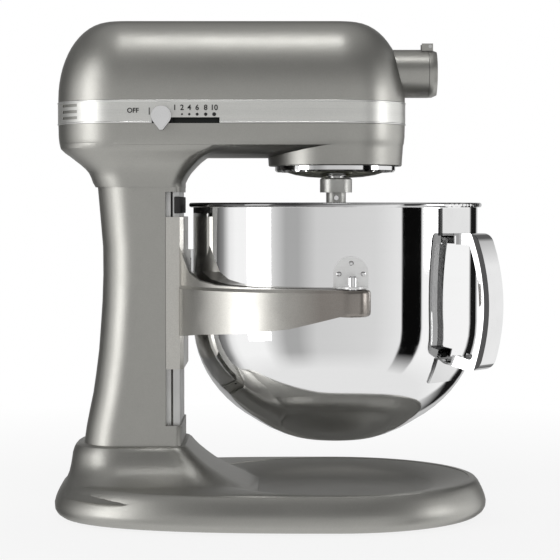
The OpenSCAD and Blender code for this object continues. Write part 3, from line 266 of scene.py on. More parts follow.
class Finish:
    """One material under construction, with its shader and its Object coordinates."""

    def __init__(self, name, rough, metallic=0.0):
        self.material = bpy.data.materials.new(name + "_finish")
        self.material.use_nodes = True
        self.tree = self.material.node_tree
        self.shader = self.tree.nodes["Principled BSDF"]
        self.shader.inputs["Roughness"].default_value = rough
        self.shader.inputs["Metallic"].default_value = metallic
        self.place = add(self.tree, "ShaderNodeTexCoord").outputs["Object"]
        split = add(self.tree, "ShaderNodeSeparateXYZ")
        feed(self.tree, split.inputs["Vector"], self.place)
        self.x, self.y, self.z = (split.outputs[axis] for axis in "XYZ")

    def effect(self, name, **values):
        used = add(self.tree, "ShaderNodeGroup", node_tree=bpy.data.node_groups[name])
        for key, value in values.items():
            feed(self.tree, used.inputs[key.replace("_", " ").title()], value)
        return used.outputs

    def grain(self, size, contrast):
        return self.effect("Fine Grain", place=self.place, grain_size=size, contrast=contrast)

    def handling(self, size, amount):
        return self.effect("Handling Marks", place=self.place, patch_size=size, amount=amount)

    def shade(self, colour, *shades):
        """Base colour times each shade."""
        result = tuple(colour) + (1.0,) if not isinstance(colour, bpy.types.NodeSocket) else colour
        for value in shades:
            grey = add(self.tree, "ShaderNodeCombineXYZ")
            for axis in "XYZ":
                feed(self.tree, grey.inputs[axis], value)
            result = mixed(self.tree, 1.0, result, grey.outputs["Vector"], "MULTIPLY")
        feed(self.tree, self.shader.inputs["Base Color"], result)

    def rough(self, base, *extras):
        total = base
        for value in extras:
            total = maths(self.tree, "ADD", total, value, clamp=True)
        feed(self.tree, self.shader.inputs["Roughness"], total)

    def bump(self, height, strength, depth_mm):
        made = add(self.tree, "ShaderNodeBump")
        made.inputs["Strength"].default_value = strength
        made.inputs["Distance"].default_value = depth_mm * MM
        feed(self.tree, made.inputs["Height"], height)
        feed(self.tree, self.shader.inputs["Normal"], made.outputs["Normal"])

    def coat(self, weight, rough):
        self.shader.inputs["Coat Weight"].default_value = weight
        self.shader.inputs["Coat Roughness"].default_value = rough

    def painted_shade_in_mirrors(self, colour, share):
        """Painted shade: lowers a colour to its share where the surface is seen in a reflection, as if it
        stood in its own shade there.
        """
        seen = add(self.tree, "ShaderNodeLightPath").outputs["Is Glossy Ray"]
        full = tuple(colour) + (1.0,)
        return mixed(self.tree, seen, full, mixed(self.tree, share, (0.0, 0.0, 0.0, 1.0), full))

    def radius(self, cx, cy):
        """Distance from an upright axis, in metres."""
        dx = maths(self.tree, "SUBTRACT", self.x, cx)
        dy = maths(self.tree, "SUBTRACT", self.y, cy)
        squares = maths(self.tree, "ADD", product(self.tree, dx, dx), product(self.tree, dy, dy))
        return maths(self.tree, "SQRT", squares)


def linear(*levels):
    """Screen levels from 0 to 255 as a scene colour."""
    shares = [level / 255 for level in levels]
    return tuple(s / 12.92 if s <= 0.04045 else ((s + 0.055) / 1.055) ** 2.4 for s in shares)


# ---------- the finishes, one for each slot ----------

def paint_finish(dress):
    """Metallic enamel: flake under a clear coat with a slight orange peel, and painted shade where it is seen
    in other metal.
    """
    made = Finish("paint", 0.3, 0.94)
    flake_mm = dress.flake_size / MM
    flake = made.effect("Metal Flake", place=made.place, flake_size=flake_mm, sparkle=dress.sparkle)
    broad = made.grain(9.0, 0.10)
    marks = made.handling(90.0, 0.05)
    # Painted shade in reflections: paint seen in other metal keeps 95 % of its colour low on the base and a
    # fifth of it above
    mirror_shade_share = stretch(made.tree, made.z, 0.09, 0.14, 0.95, 0.2)
    made.shade(made.painted_shade_in_mirrors(dress.paint_colour, mirror_shade_share), flake["Shade"], broad["Shade"])
    made.rough(0.36, marks["Rough"], product(made.tree, flake["Height"], 0.06))
    peel = noise(made.tree, made.place, 260.0, 2.0)
    made.bump(peel.outputs["Fac"], 0.10, 0.4)
    made.coat(0.10, 0.22)


def band_finish(dress):
    """Pearl silver strip with bright beads along its edges."""
    made = Finish("band", 0.3, 0.8)
    lines = made.effect("Tool Lines", across=made.z, along=made.x, spacing=0.35)
    flake = made.effect("Metal Flake", place=made.place, flake_size=0.35, sparkle=0.10)
    low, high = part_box("trim_band")
    middle = (low.z + high.z) / 2
    away = maths(made.tree, "ABSOLUTE", maths(made.tree, "SUBTRACT", made.z, middle))
    bead = stretch(made.tree, away, (high.z - low.z) / 2 - 0.0022, (high.z - low.z) / 2 - 0.0016)
    marks = made.handling(45.0, 0.06)
    strip = mixed(made.tree, bead, tuple(dress.band_colour) + (1.0,), tuple(dress.bead_colour) + (1.0,))
    made.shade(strip, flake["Shade"], lines["Shade"])
    made.rough(maths(made.tree, "SUBTRACT", 0.36, product(made.tree, bead, 0.06)), marks["Rough"])
    made.bump(lines["Height"], 0.05, 0.1)
    made.coat(0.06, 0.3)


def steel_finish(dress):
    made = Finish("steel", 0.35, 1.0)
    lines = made.effect("Tool Lines", across=made.x, along=made.z, spacing=0.25)
    grain = made.grain(0.6, 0.14)
    marks = made.handling(20.0, 0.12)
    made.shade(dress.steel_colour, grain["Shade"], lines["Shade"])
    made.rough(0.30, marks["Rough"])
    made.bump(lines["Height"], 0.10, 0.1)


def satin_steel_finish(dress):
    """Brushed stainless sheet of the bowl's brackets."""
    made = Finish("satin_steel", 0.4, 0.45)
    lines = made.effect("Tool Lines", across=made.z, along=made.x, spacing=0.3)
    grain = made.grain(0.5, 0.10)
    marks = made.handling(12.0, 0.08)
    made.shade(dress.bracket_colour, grain["Shade"], lines["Shade"])
    made.rough(0.38, marks["Rough"])
    made.bump(lines["Height"], 0.06, 0.1)


def painted_handle_reflections(made):
    """Painted dark reflections on the chrome handle: greyer on its lips and tabs, darkest at the tabs' near
    edge and the grip's near corner.
    """
    tree = made.tree
    low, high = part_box("bowl")
    turn = math.radians(-HANDLE_TURN)
    from_axis = maths(tree, "SUBTRACT", made.x, (low.x + high.x) / 2)
    cosine, sine = math.cos(turn), math.sin(turn)
    out = maths(tree, "SUBTRACT", product(tree, from_axis, cosine), product(tree, made.y, sine))
    across = maths(tree, "ADD", product(tree, from_axis, sine), product(tree, made.y, cosine))
    rise = maths(tree, "SUBTRACT", made.z, GRIP_MIDDLE)
    bowed = maths(tree, "ADD", out, product(tree, rise, rise, GRIP_BOW))
    grip = stretch(tree, bowed, GRIP_REACH - 0.0051, GRIP_REACH - 0.0044)
    near = stretch(tree, across, 0.0009 - GRIP_HALF_WIDTH, 0.0005 - GRIP_HALF_WIDTH)
    corner = product(tree, grip, near)
    inner = stretch(tree, bowed, GRIP_REACH - 0.0072, GRIP_REACH - 0.0061, 1.0, 0.0)
    lip = product(tree, inner, stretch(tree, out, 0.140, 0.143))
    wide = stretch(tree, across, -TAB_HALF_WIDTH - 0.0018, -TAB_HALF_WIDTH - 0.0008)
    thin = stretch(tree, out, TAB_OUTSIDE, TAB_OUTSIDE + 0.0004, 1.0, 0.0)
    tabs = product(tree, stretch(tree, out, 0.100, 0.101), wide, thin)
    edge = product(tree, tabs, stretch(tree, across, 0.0020 - TAB_HALF_WIDTH, 0.0010 - TAB_HALF_WIDTH))
    masks = ((corner, 0.03), (lip, 0.80), (tabs, 0.93), (edge, 0.12))
    return product(tree, *(stretch(tree, mask, 0.0, 1.0, 1.0, share) for mask, share in masks))


def chrome_finish(dress):
    """Bright chrome, with painted dark reflections on the handle and painted shade where it is seen in other
    metal.
    """
    made = Finish("chrome", 0.06, 1.0)
    grain = made.grain(0.8, 0.03)
    marks = made.handling(28.0, 0.06)
    # Real handling marks times the handle's painted dark reflections
    wear_and_painted_reflections = product(made.tree, painted_handle_reflections(made), stretch(made.tree, marks["Mask"], 0.0, 1.0, 1.0, 0.96))
    # Painted shade: the chrome is dimmed to 55 % where it is seen in other metal
    made.shade(made.painted_shade_in_mirrors(dress.chrome_colour, 0.55), grain["Shade"], wear_and_painted_reflections)
    made.rough(0.035, marks["Rough"])
    made.bump(grain["Height"], 0.02, 0.05)


def bowl_finish(dress):
    """Polished steel with the faint rings of spinning, cloudier inside, and a painted dark reflection along
    the rim's left part.
    """
    made = Finish("bowl_steel", 0.06, 1.0)
    low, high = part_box("bowl")
    out = made.radius((low.x + high.x) / 2, 0.0)
    rings = made.effect("Tool Lines", across=made.z, along=out, spacing=0.5)
    marks = made.handling(50.0, 0.035)
    half = (high.y - low.y) / 2
    inside = stretch(made.tree, out, half - RIM_BEAD - 0.0009, half - RIM_BEAD - 0.0006, 1.0, 0.0)
    grain = made.grain(1.2, 0.03)
    # Painted dark reflection: the rim's top few millimetres darken to 16 % on its left part
    rim = stretch(made.tree, made.z, high.z - 0.0037, high.z - 0.0030)
    left = stretch(made.tree, made.x, (low.x + high.x) / 2 + 0.045, (low.x + high.x) / 2 - 0.035)
    painted_rim_reflection = stretch(made.tree, product(made.tree, rim, left), 0.0, 1.0, 1.0, 0.16)
    faint = stretch(made.tree, rings["Shade"], 0.93, 1.05, 0.99, 1.005)
    made.shade(dress.bowl_colour, faint, grain["Shade"], painted_rim_reflection)
    made.rough(maths(made.tree, "ADD", 0.03, product(made.tree, inside, 0.03)), marks["Rough"])
    made.bump(rings["Height"], 0.004, 0.1)


def support_finish(dress):
    """Satin pearl coating on the bowl support and the lift lever."""
    made = Finish("satin_metal", 0.34, 0.9)
    flake = made.effect("Metal Flake", place=made.place, flake_size=0.4, sparkle=0.16)
    grain = made.grain(5.0, 0.08)
    marks = made.handling(30.0, 0.08)
    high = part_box("bowl_support")[1]
    # Painted shade: the arms darken toward their front ends, standing in for the darker reflection of the
    # twisted ends
    ends = stretch(made.tree, made.x, high.x - 0.075, high.x - 0.040)
    middle = tuple(dress.support_colour) + (1.0,)
    shade = mixed(made.tree, ends, middle, tuple(dress.support_end_painted_shade) + (1.0,))
    made.shade(shade, flake["Shade"], grain["Shade"])
    made.rough(0.30, marks["Rough"])
    made.bump(grain["Height"], 0.06, 0.3)
    made.coat(0.3, 0.15)


def carrier_finish(dress):
    """Burnished casting, a little green and dull."""
    made = Finish("carrier", 0.35, 0.9)
    low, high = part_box("planetary_carrier")
    out = made.radius((low.x + high.x) / 2, 0.0)
    rings = made.effect("Tool Lines", across=out, along=made.z, spacing=0.4)
    grain = made.grain(1.5, 0.22)
    marks = made.handling(16.0, 0.15)
    made.shade(dress.carrier_colour, grain["Shade"], rings["Shade"])
    made.rough(0.30, marks["Rough"])
    made.bump(rings["Height"], 0.12, 0.15)


def beater_finish(dress):
    """Burnished aluminium casting with a fine sandy skin."""
    made = Finish("beater", 0.45, 0.8)
    grain = made.grain(0.5, 0.16)
    marks = made.handling(25.0, 0.12)
    made.shade(dress.beater_colour, grain["Shade"])
    made.rough(0.38, marks["Rough"])
    made.bump(grain["Height"], 0.18, 0.2)


def plastic_finish(dress):
    """Moulded black plastic with a spark-eroded grain."""
    made = Finish("black_plastic", 0.42)
    grain = made.grain(0.35, 0.25)
    marks = made.handling(18.0, 0.15)
    made.shade(dress.plastic_colour, grain["Shade"], stretch(made.tree, marks["Mask"], 0.0, 1.0, 1.0, 1.25))
    made.rough(0.36, marks["Rough"])
    made.bump(grain["Height"], 0.20, 0.12)


def scale_finish(dress):
    made = Finish("scale", 0.5)
    grain = made.grain(0.7, 0.2)
    marks = made.handling(12.0, 0.1)
    made.shade(dress.slot_colour, grain["Shade"])
    made.rough(0.45, marks["Rough"])
    made.bump(grain["Height"], 0.1, 0.1)


def board_finish(dress):
    """Green lacquered board with a fine checked weave."""
    made = Finish("board", 0.3)
    weave = add(made.tree, "ShaderNodeTexChecker")
    feed(made.tree, weave.inputs["Vector"], made.place)
    weave.inputs["Scale"].default_value = 900.0
    weave.inputs["Color1"].default_value = linear(6, 30, 18) + (1.0,)
    weave.inputs["Color2"].default_value = linear(8, 38, 24) + (1.0,)
    grain = made.grain(1.0, 0.2)
    made.shade(weave.outputs["Color"], grain["Shade"])
    made.rough(0.25, product(made.tree, grain["Height"], 0.15))
    made.bump(grain["Height"], 0.1, 0.1)


def rubber_finish(dress):
    made = Finish("rubber", 0.75)
    grain = made.grain(0.5, 0.3)
    marks = made.handling(14.0, 0.12)
    made.shade(dress.rubber_colour, grain["Shade"], stretch(made.tree, marks["Mask"], 0.0, 1.0, 1.0, 1.4))
    made.rough(0.68, marks["Rough"])
    made.bump(grain["Height"], 0.3, 0.2)


def bronze_finish(dress):
    made = Finish("bronze", 0.3, 1.0)
    grain = made.grain(0.8, 0.2)
    marks = made.handling(9.0, 0.15)
    made.shade(dress.bronze_colour, grain["Shade"], stretch(made.tree, marks["Mask"], 0.0, 1.0, 1.0, 0.85))
    made.rough(0.26, marks["Rough"])
    made.bump(grain["Height"], 0.1, 0.1)


def copper_finish(dress):
    """Lacquered winding wire."""
    made = Finish("copper", 0.3, 1.0)
    lines = made.effect("Tool Lines", across=made.z, along=made.x, spacing=0.8)
    grain = made.grain(0.6, 0.2)
    made.shade(dress.copper_colour, grain["Shade"], lines["Shade"])
    made.rough(0.24, product(made.tree, grain["Height"], 0.12))
    made.bump(lines["Height"], 0.5, 0.3)


def weld_finish(dress):
    """Chrome dulled by the heat of a spot weld."""
    made = Finish("weld", 0.3, 1.0)
    grain = made.grain(0.4, 0.3)
    made.shade(tuple(level * 0.55 for level in dress.chrome_colour), grain["Shade"])
    made.rough(0.24, product(made.tree, grain["Height"], 0.2))
    made.bump(grain["Height"], 0.15, 0.1)


def marking_finish(dress):
    """Dark printing ink for the scale of the speed control."""
    made = Finish("marking", 0.5)
    grain = made.grain(0.2, 0.3)
    made.shade(dress.marking_colour, grain["Shade"])
    made.rough(0.45, product(made.tree, grain["Height"], 0.1))
    made.bump(grain["Height"], 0.05, 0.05)


FINISHES = (
    paint_finish, band_finish, steel_finish, satin_steel_finish, chrome_finish, bowl_finish, support_finish,
    carrier_finish, beater_finish, plastic_finish, scale_finish, board_finish, rubber_finish, bronze_finish,
    copper_finish, marking_finish, weld_finish,
)


# ---------- values a user would change ----------

def colour(name, about, levels):
    return FloatVectorProperty(name=name, description=about, subtype="COLOR", size=3, min=0.0, max=1.0,
                               default=linear(*levels))


def length(name, about, value_mm):
    return FloatProperty(name=name, description=about, subtype="DISTANCE", unit="LENGTH", min=0.0, precision=5,
                         default=value_mm * MM)


def power(name, about, watts):
    return FloatProperty(name=name, description=about, subtype="POWER", unit="POWER", min=0.0, precision=4,
                         default=watts)


def amount(name, about, value, most):
    return FloatProperty(name=name, description=about, default=value, min=0.0, max=most)


class MixerFinishes(bpy.types.PropertyGroup):
    paint_colour: colour("Paint", "Metallic enamel of the base, column and head", (176, 175, 170))
    sparkle: amount("Sparkle", "How much the metal flake varies", 0.10, 1.0)
    flake_size: length("Flake Size", "Width of one fleck in the paint", 0.35)
    band_colour: colour("Band", "Strip round the head", (222, 222, 218))
    bead_colour: colour("Band Beads", "Bright edges of the strip", (232, 232, 229))
    steel_colour: colour("Steel", "Shafts, pins and screws", (210, 210, 208))
    bracket_colour: colour("Brackets", "Satin stainless brackets on the bowl", (246, 246, 245))
    chrome_colour: colour("Chrome", "Handle and small trim", (232, 232, 232))
    bowl_colour: colour("Bowl", "Polished steel of the bowl", (243, 243, 243))
    support_colour: colour("Bowl Support", "Satin coating of the support and lever", (205, 203, 197))
    # Colour of the painted shade at the front ends of the support's arms
    support_end_painted_shade: colour("Support Ends", "Darker casting at the ends of the arms", (150, 144, 138))
    carrier_colour: colour("Planetary", "Burnished casting under the head", (165, 165, 150))
    beater_colour: colour("Beater", "Cast aluminium beater", (198, 198, 194))
    plastic_colour: colour("Black Plastic", "Knobs, gland and screw caps", (28, 28, 28))
    slot_colour: colour("Slot", "Dark strip behind the speed control's slot", (26, 26, 26))
    rubber_colour: colour("Rubber", "Feet", (38, 37, 36))
    bronze_colour: colour("Bronze", "Bushes and worm wheel", (178, 132, 78))
    copper_colour: colour("Copper", "Motor windings", (188, 104, 66))
    marking_colour: colour("Markings", "Ink of the scale", (34, 34, 33))


class MixerSizes(bpy.types.PropertyGroup):
    numeral_height: length("Numeral Height", "Height of the numbers on the scale", 4.4)
    ink_depth: length("Ink Depth", "How far the markings stand proud", 0.06)
    weld_radius: length("Weld Mark", "Radius of a spot weld on the handle's upper tab", 1.5)
    stop_height: length("Stop Height", "Height of the rubber stop above the bowl support", 14.0)


class MixerStudio(bpy.types.PropertyGroup):
    camera_distance: length("Camera Distance", "From the camera to the object's middle plane", 1620.0)
    camera_height: length("Camera Height", "Above the table", 264.0)
    camera_offset: length("Camera Offset", "From the bowl's axis back towards the column", 47.2)
    camera_lens: amount("Lens", "Focal length on a 36 mm sensor, in millimetres", 121.3, 400.0)
    top_power: power("Top Lamp", "Power of the overhead lamp", 0.06)
    left_power: power("Left Lamp", "Power of the upright lamp on the left", 8.0)
    right_power: power("Right Lamp", "Power of the upright lamp on the right", 2.5)
    room_light: amount("Room Light", "Strength of the even light from all round", 0.55, 2.0)


# ---------- operators ----------

def make_smooth_skin(limit_degrees):
    """Joins a part's loose facets and shades it smooth, apart from edges sharper than the limit."""
    tree = bpy.data.node_groups.new("Smooth Skin", "GeometryNodeTree")
    tree.interface.new_socket(name="Geometry", in_out="INPUT", socket_type="NodeSocketGeometry")
    tree.interface.new_socket(name="Geometry", in_out="OUTPUT", socket_type="NodeSocketGeometry")
    entry = add(tree, "NodeGroupInput")
    leave = add(tree, "NodeGroupOutput")
    join = add(tree, "GeometryNodeMergeByDistance")
    join.inputs["Distance"].default_value = 0.002 * MM
    plain = add(tree, "GeometryNodeRemoveAttribute")
    plain.inputs["Name"].default_value = "custom_normal"
    smooth = add(tree, "GeometryNodeSetShadeSmooth", domain="FACE")
    crisp = add(tree, "GeometryNodeSetShadeSmooth", domain="EDGE")
    crisp.inputs["Shade Smooth"].default_value = False
    angle = add(tree, "GeometryNodeInputMeshEdgeAngle")
    sharp = add(tree, "FunctionNodeCompare", data_type="FLOAT", operation="GREATER_THAN")
    feed(tree, sharp.inputs["A"], angle.outputs["Unsigned Angle"])
    sharp.inputs["B"].default_value = math.radians(limit_degrees)
    for source, target in ((entry.outputs["Geometry"], join), (join.outputs["Geometry"], plain),
                           (plain.outputs["Geometry"], smooth), (smooth.outputs["Geometry"], crisp)):
        tree.links.new(source, target.inputs["Geometry"])
    tree.links.new(crisp.outputs["Geometry"], leave.inputs["Geometry"])
    tree.links.new(sharp.outputs["Result"], crisp.inputs["Selection"])
    return tree


ROUNDING_MM = {
    "bowl_handle": 0.85,
    "bowl_brackets": 0.5,
    "lift_lever": 1.2,
    "gear_housing": 0.5,
    "trim_band": 0.2,
}
ROUNDED_ABOVE_DEGREES = 35


class MIXER_OT_finishes(bpy.types.Operator):
    """Make every finish and give each part of the frame its own"""
    bl_idname = "mixer.finishes"
    bl_label = "Finishes"

    def execute(self, context):
        for make in EFFECTS.values():
            make()
        for make in FINISHES:
            make(context.scene.mixer_finishes)
        for part in frame["record"]["subparts"]:
            mesh = NODES[part["node"]].data
            mesh.materials.clear()
            mesh.materials.append(bpy.data.materials[part["material_slot"] + "_finish"])
        skin = make_smooth_skin(30)
        for name, node in NODES.items():
            node.modifiers.new("smooth_skin", "NODES").node_group = skin
            if name in ROUNDING_MM:
                edge = node.modifiers.new("rounding", "BEVEL")
                edge.width = ROUNDING_MM[name] * MM
                edge.segments = 3
                edge.limit_method = "ANGLE"
                edge.angle_limit = math.radians(ROUNDED_ABOVE_DEGREES)
                node.modifiers.new("smooth_edge", "NODES").node_group = skin
        return {"FINISHED"}


def join(pieces):
    """Joins the pieces into the first of them."""
    deselect()
    for piece in pieces:
        piece.select_set(True)
    bpy.context.view_layer.objects.active = pieces[0]
    bpy.ops.object.join()
    return bpy.context.object


def ink(text, place, height, depth):
    """Raised ink on the near flank, reading from the near side."""
    deselect()
    bpy.ops.object.text_add(location=place, rotation=(math.pi / 2, 0, 0))
    written = bpy.context.object
    written.data.body = text
    written.data.align_x = "CENTER"
    written.data.align_y = "CENTER"
    written.data.size = height * 1.4
    written.data.extrude = depth
    written.data.offset = height * 0.03
    return written


class MIXER_OT_speed_marks(bpy.types.Operator):
    """Print the scale of the speed control on the strip: OFF, the numbers and the growing dots"""
    bl_idname = "mixer.speed_marks"
    bl_label = "Speed Marks"

    def execute(self, context):
        sizes = context.scene.mixer_sizes
        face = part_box("trim_band")[0].y
        knob_low, knob_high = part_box("speed_knob")
        knob = (knob_low.x + knob_high.x) / 2
        marks = []
        for line, texts in ((LETTER_LINE, LETTERS), (NUMBER_LINE, NUMBERS)):
            for text, along in texts:
                height = sizes.numeral_height * (0.9 if text == "OFF" else 1)
                marks.append(ink(text, (knob + along * MM, face, line), height, sizes.ink_depth))
        for item in marks:
            pick(item)
            bpy.ops.object.convert(target="MESH")
        for index, (_, along) in enumerate(NUMBERS[1:]):
            deselect()
            bpy.ops.mesh.primitive_circle_add(
                vertices=20, radius=(0.8 + 0.2 * index) * MM, fill_type="NGON",
                location=(knob + along * MM, face, DOT_LINE), rotation=(math.pi / 2, 0, 0))
            dot = bpy.context.object
            bpy.ops.object.mode_set(mode="EDIT")
            bpy.ops.mesh.select_all(action="SELECT")
            bpy.ops.mesh.extrude_region_move(TRANSFORM_OT_translate={"value": (0, -sizes.ink_depth, 0)})
            bpy.ops.object.mode_set(mode="OBJECT")
            marks.append(dot)
        settle(join(marks), "speed_marks", "marking", "machine")
        return {"FINISHED"}


def handle_place(turn_degrees, out, height):
    """Point on an upright cylinder round the bowl's axis, with its turn from the handle's middle."""
    low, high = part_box("bowl")
    turn = math.radians(HANDLE_TURN + turn_degrees)
    return Vector(((low.x + high.x) / 2 + out * math.cos(turn), out * math.sin(turn), height)), turn


class MIXER_OT_weld_marks(bpy.types.Operator):
    """Press two shallow spot-weld marks into the handle's upper tab"""
    bl_idname = "mixer.weld_marks"
    bl_label = "Weld Marks"

    def execute(self, context):
        sizes = context.scene.mixer_sizes
        bowl_low, bowl_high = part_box("bowl")
        handle_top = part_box("bowl_handle")[1].z
        wall = (bowl_high.y - bowl_low.y) / 2 - RIM_BEAD + TAB_THICKNESS
        marks = []
        for turn in (-3.3, 3.3):
            place, angle = handle_place(turn, wall, handle_top - 0.0075)
            deselect()
            bpy.ops.mesh.primitive_circle_add(
                vertices=28, radius=sizes.weld_radius, fill_type="NGON",
                location=place, rotation=(math.pi / 2, 0, angle + math.pi / 2))
            mark = bpy.context.object
            bpy.ops.object.mode_set(mode="EDIT")
            bpy.ops.mesh.select_all(action="SELECT")
            bpy.ops.mesh.extrude_region_shrink_fatten(TRANSFORM_OT_shrink_fatten={"value": 0.00015})
            bpy.ops.mesh.inset(thickness=sizes.weld_radius * 0.35, depth=0.0002)
            bpy.ops.mesh.inset(thickness=sizes.weld_radius * 0.3, depth=-0.0003)
            bpy.ops.object.mode_set(mode="OBJECT")
            marks.append(mark)
        settle(join(marks), "weld_marks", "weld", "bowl_set")
        return {"FINISHED"}


class MIXER_OT_bump_stop(bpy.types.Operator):
    """Fit the rubber block that stops the bowl support at the top of its rail; its dark rubber also stands as
    painted shade for the gap there
    """
    bl_idname = "mixer.bump_stop"
    bl_label = "Bump Stop"

    def execute(self, context):
        sizes = context.scene.mixer_sizes
        rail_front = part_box("guide_rail")[1].x
        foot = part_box("bowl_support")[1].z + 0.003
        column_low, column_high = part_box("column")
        low = Vector((rail_front - 0.004, column_low.y + 0.001, foot))
        high = Vector((rail_front + 0.0012, column_high.y - 0.001, foot + sizes.stop_height))
        deselect()
        bpy.ops.mesh.primitive_cube_add(size=1, location=(low + high) / 2)
        block = bpy.context.object
        block.scale = high - low
        bpy.ops.object.transform_apply(location=False, rotation=False, scale=True)
        bpy.ops.object.mode_set(mode="EDIT")
        bpy.ops.mesh.select_all(action="SELECT")
        bpy.ops.mesh.bevel(offset=0.0008, segments=3, affect="EDGES")
        bpy.ops.object.mode_set(mode="OBJECT")
        bpy.ops.object.shade_smooth_by_angle(angle=math.radians(40))
        settle(block, "bump_stop", "rubber", "machine")
        return {"FINISHED"}


# Light of the studio's walls as metal sees it: degrees round from the camera, and level
WALLS = (
    (-180, 0.42), (-165, 0.38), (-156, 0.30), (-150, 0.12), (-142, 0.05), (-130, 0.012), (-119, 0.02),
    (-111, 0.10), (-103, 0.26), (-95, 0.88), (-88, 1.0), (-62, 1.0), (-50, 0.66), (-41, 0.42), (-31, 0.42),
    (-16, 0.66), (30, 0.72), (52.5, 0.86), (53.3, 0.003), (71, 0.003), (71.8, 1.0), (135, 1.0), (140, 0.01),
    (158, 0.01), (161, 0.6), (180, 0.42),
)
WHITE = (1.0, 1.0, 1.0, 1.0)


def lay_floor():
    """Pale floor that takes the shadow, fades to white away from the object and isn't seen in metal."""
    deselect()
    bpy.ops.mesh.primitive_plane_add(size=60, location=(0, 0, 0))
    floor = bpy.context.object
    floor.name = "floor"
    bpy.ops.object.transform_apply(location=True, rotation=True, scale=True)
    surface = bpy.data.materials.new("floor")
    surface.use_nodes = True
    tree = surface.node_tree
    shader = tree.nodes["Principled BSDF"]
    shader.inputs["Base Color"].default_value = linear(236, 236, 236) + (1.0,)
    shader.inputs["Roughness"].default_value = 0.6
    floor.data.materials.append(surface)
    path = add(tree, "ShaderNodeLightPath")
    glow = add(tree, "ShaderNodeEmission")
    glow.inputs["Color"].default_value = WHITE
    share = add(tree, "ShaderNodeMixShader")
    reach = add(tree, "ShaderNodeVectorMath", operation="LENGTH")
    feed(tree, reach.inputs[0], add(tree, "ShaderNodeTexCoord").outputs["Object"])
    fade = stretch(tree, reach.outputs["Value"], 0.25, 0.9, 0.84, 1.0)
    feed(tree, share.inputs[0], product(tree, path.outputs["Is Camera Ray"], fade))
    tree.links.new(shader.outputs[0], share.inputs[1])
    tree.links.new(glow.outputs[0], share.inputs[2])
    clear = add(tree, "ShaderNodeBsdfTransparent")
    room = add(tree, "ShaderNodeMixShader")
    feed(tree, room.inputs[0], path.outputs["Is Glossy Ray"])
    tree.links.new(share.outputs[0], room.inputs[1])
    tree.links.new(clear.outputs[0], room.inputs[2])
    tree.links.new(room.outputs[0], tree.nodes["Material Output"].inputs["Surface"])


def light_room(studio):
    """White behind the object, even light from all round, and walls that metal sees."""
    world = bpy.data.worlds.new("studio")
    bpy.context.scene.world = world
    world.use_nodes = True
    tree = world.node_tree
    back = tree.nodes["Background"]
    path = add(tree, "ShaderNodeLightPath")
    seen = maths(tree, "MAXIMUM", path.outputs["Is Camera Ray"], path.outputs["Is Transmission Ray"])
    split = add(tree, "ShaderNodeSeparateXYZ")
    feed(tree, split.inputs["Vector"], add(tree, "ShaderNodeTexCoord").outputs["Generated"])
    around = maths(tree, "ARCTAN2", split.outputs["X"], product(tree, split.outputs["Y"], -1.0))
    walls = add(tree, "ShaderNodeValToRGB")
    ramp = walls.color_ramp
    while len(ramp.elements) < len(WALLS):
        ramp.elements.new(0.5)
    for element, (degrees, level) in zip(ramp.elements, WALLS):
        element.position = (degrees + 180) / 360
        element.color = (level, level, level, 1)
    feed(tree, walls.inputs["Fac"], stretch(tree, around, -math.pi, math.pi))
    height = split.outputs["Z"]
    overhead = stretch(tree, height, 0.66, 0.86, 0.12, 0.42)
    upper = mixed(tree, stretch(tree, height, 0.20, 0.50), walls.outputs["Color"], overhead)
    underfoot = stretch(tree, height, -0.72, -0.45, 1.0, 0.0)
    seen_in_metal = mixed(tree, underfoot, upper, (0.85, 0.85, 0.85, 1.0))
    lit = mixed(tree, path.outputs["Is Glossy Ray"], (studio.room_light,) * 3 + (1.0,), seen_in_metal)
    feed(tree, back.inputs["Color"], mixed(tree, seen, lit, WHITE))
    back.inputs["Strength"].default_value = 1.0


def hang_lamp(name, watts, size, spread, place, aim):
    """Rectangular soft lamp with its width and height in metres and its spread in degrees."""
    deselect()
    bpy.ops.object.light_add(type="AREA", location=place)
    lamp = bpy.context.object
    lamp.name = name
    lamp.data.shape = "RECTANGLE"
    lamp.data.size, lamp.data.size_y = size
    lamp.data.energy = watts
    lamp.data.spread = math.radians(spread)
    lamp.rotation_euler = (Vector(aim) - Vector(place)).to_track_quat("-Z", "Y").to_euler()


def place_camera(studio):
    """Camera on the near side, looking a little down."""
    deselect()
    drop = math.atan(75 / 1887)
    low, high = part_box("bowl")
    across = (low.x + high.x) / 2 - studio.camera_offset
    bpy.ops.object.camera_add(location=(across, -studio.camera_distance, studio.camera_height),
                              rotation=(math.pi / 2 - drop, 0, 0))
    camera = bpy.context.object
    camera.data.lens = studio.camera_lens
    camera.data.sensor_width = 36.0
    camera.data.clip_end = 50.0
    bpy.context.scene.camera = camera


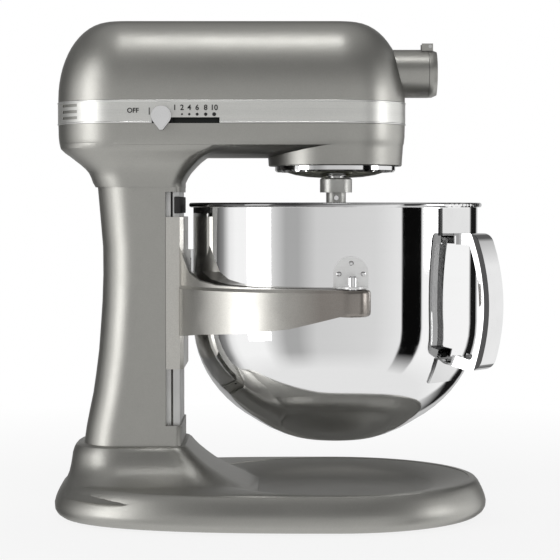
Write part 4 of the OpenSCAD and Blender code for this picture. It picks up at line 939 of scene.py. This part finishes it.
class MIXER_OT_studio(bpy.types.Operator):
    """Set up the pale floor, the plain soft light and the camera"""
    bl_idname = "mixer.studio"
    bl_label = "Studio"

    def execute(self, context):
        studio = context.scene.mixer_studio
        context.scene.view_settings.view_transform = "Standard"
        lay_floor()
        light_room(studio)
        hang_lamp("top_lamp", studio.top_power, (0.95, 0.14), 18, (-0.03, -0.24, 0.98), (-0.03, -0.055, 0.40))
        hang_lamp("left_lamp", studio.left_power, (0.62, 1.5), 180, (-1.385, -0.745, 0.50), (0.0, 0.0, 0.30))
        hang_lamp("right_lamp", studio.right_power, (0.45, 0.5), 180, (1.60, -0.30, 0.38), (0.0, 0.0, 0.32))
        place_camera(studio)
        return {"FINISHED"}


class MIXER_PT_panel(bpy.types.Panel):
    """Lists the dressing steps and their values"""
    bl_idname = "MIXER_PT_panel"
    bl_label = "Stand Mixer"
    bl_space_type = "VIEW_3D"
    bl_region_type = "UI"
    bl_category = "Mixer"

    def draw(self, context):
        for group in (context.scene.mixer_finishes, context.scene.mixer_sizes, context.scene.mixer_studio):
            box = self.layout.box()
            for key in group.__annotations__:
                box.prop(group, key)
        for operator in STEPS:
            self.layout.operator(operator.bl_idname)


STEPS = (MIXER_OT_finishes, MIXER_OT_speed_marks, MIXER_OT_weld_marks, MIXER_OT_bump_stop, MIXER_OT_studio)
GROUPS = {"mixer_finishes": MixerFinishes, "mixer_sizes": MixerSizes, "mixer_studio": MixerStudio}


def register():
    for made in (*GROUPS.values(), *STEPS, MIXER_PT_panel):
        bpy.utils.register_class(made)
    for name, group in GROUPS.items():
        setattr(bpy.types.Scene, name, PointerProperty(type=group))


def unregister():
    for name in GROUPS:
        delattr(bpy.types.Scene, name)
    for made in reversed((*GROUPS.values(), *STEPS, MIXER_PT_panel)):
        bpy.utils.unregister_class(made)


def main():
    register()
    bpy.ops.mixer.finishes()
    bpy.ops.mixer.speed_marks()
    bpy.ops.mixer.weld_marks()
    bpy.ops.mixer.bump_stop()
    bpy.ops.mixer.studio()


if __name__ == "__main__":
    main()
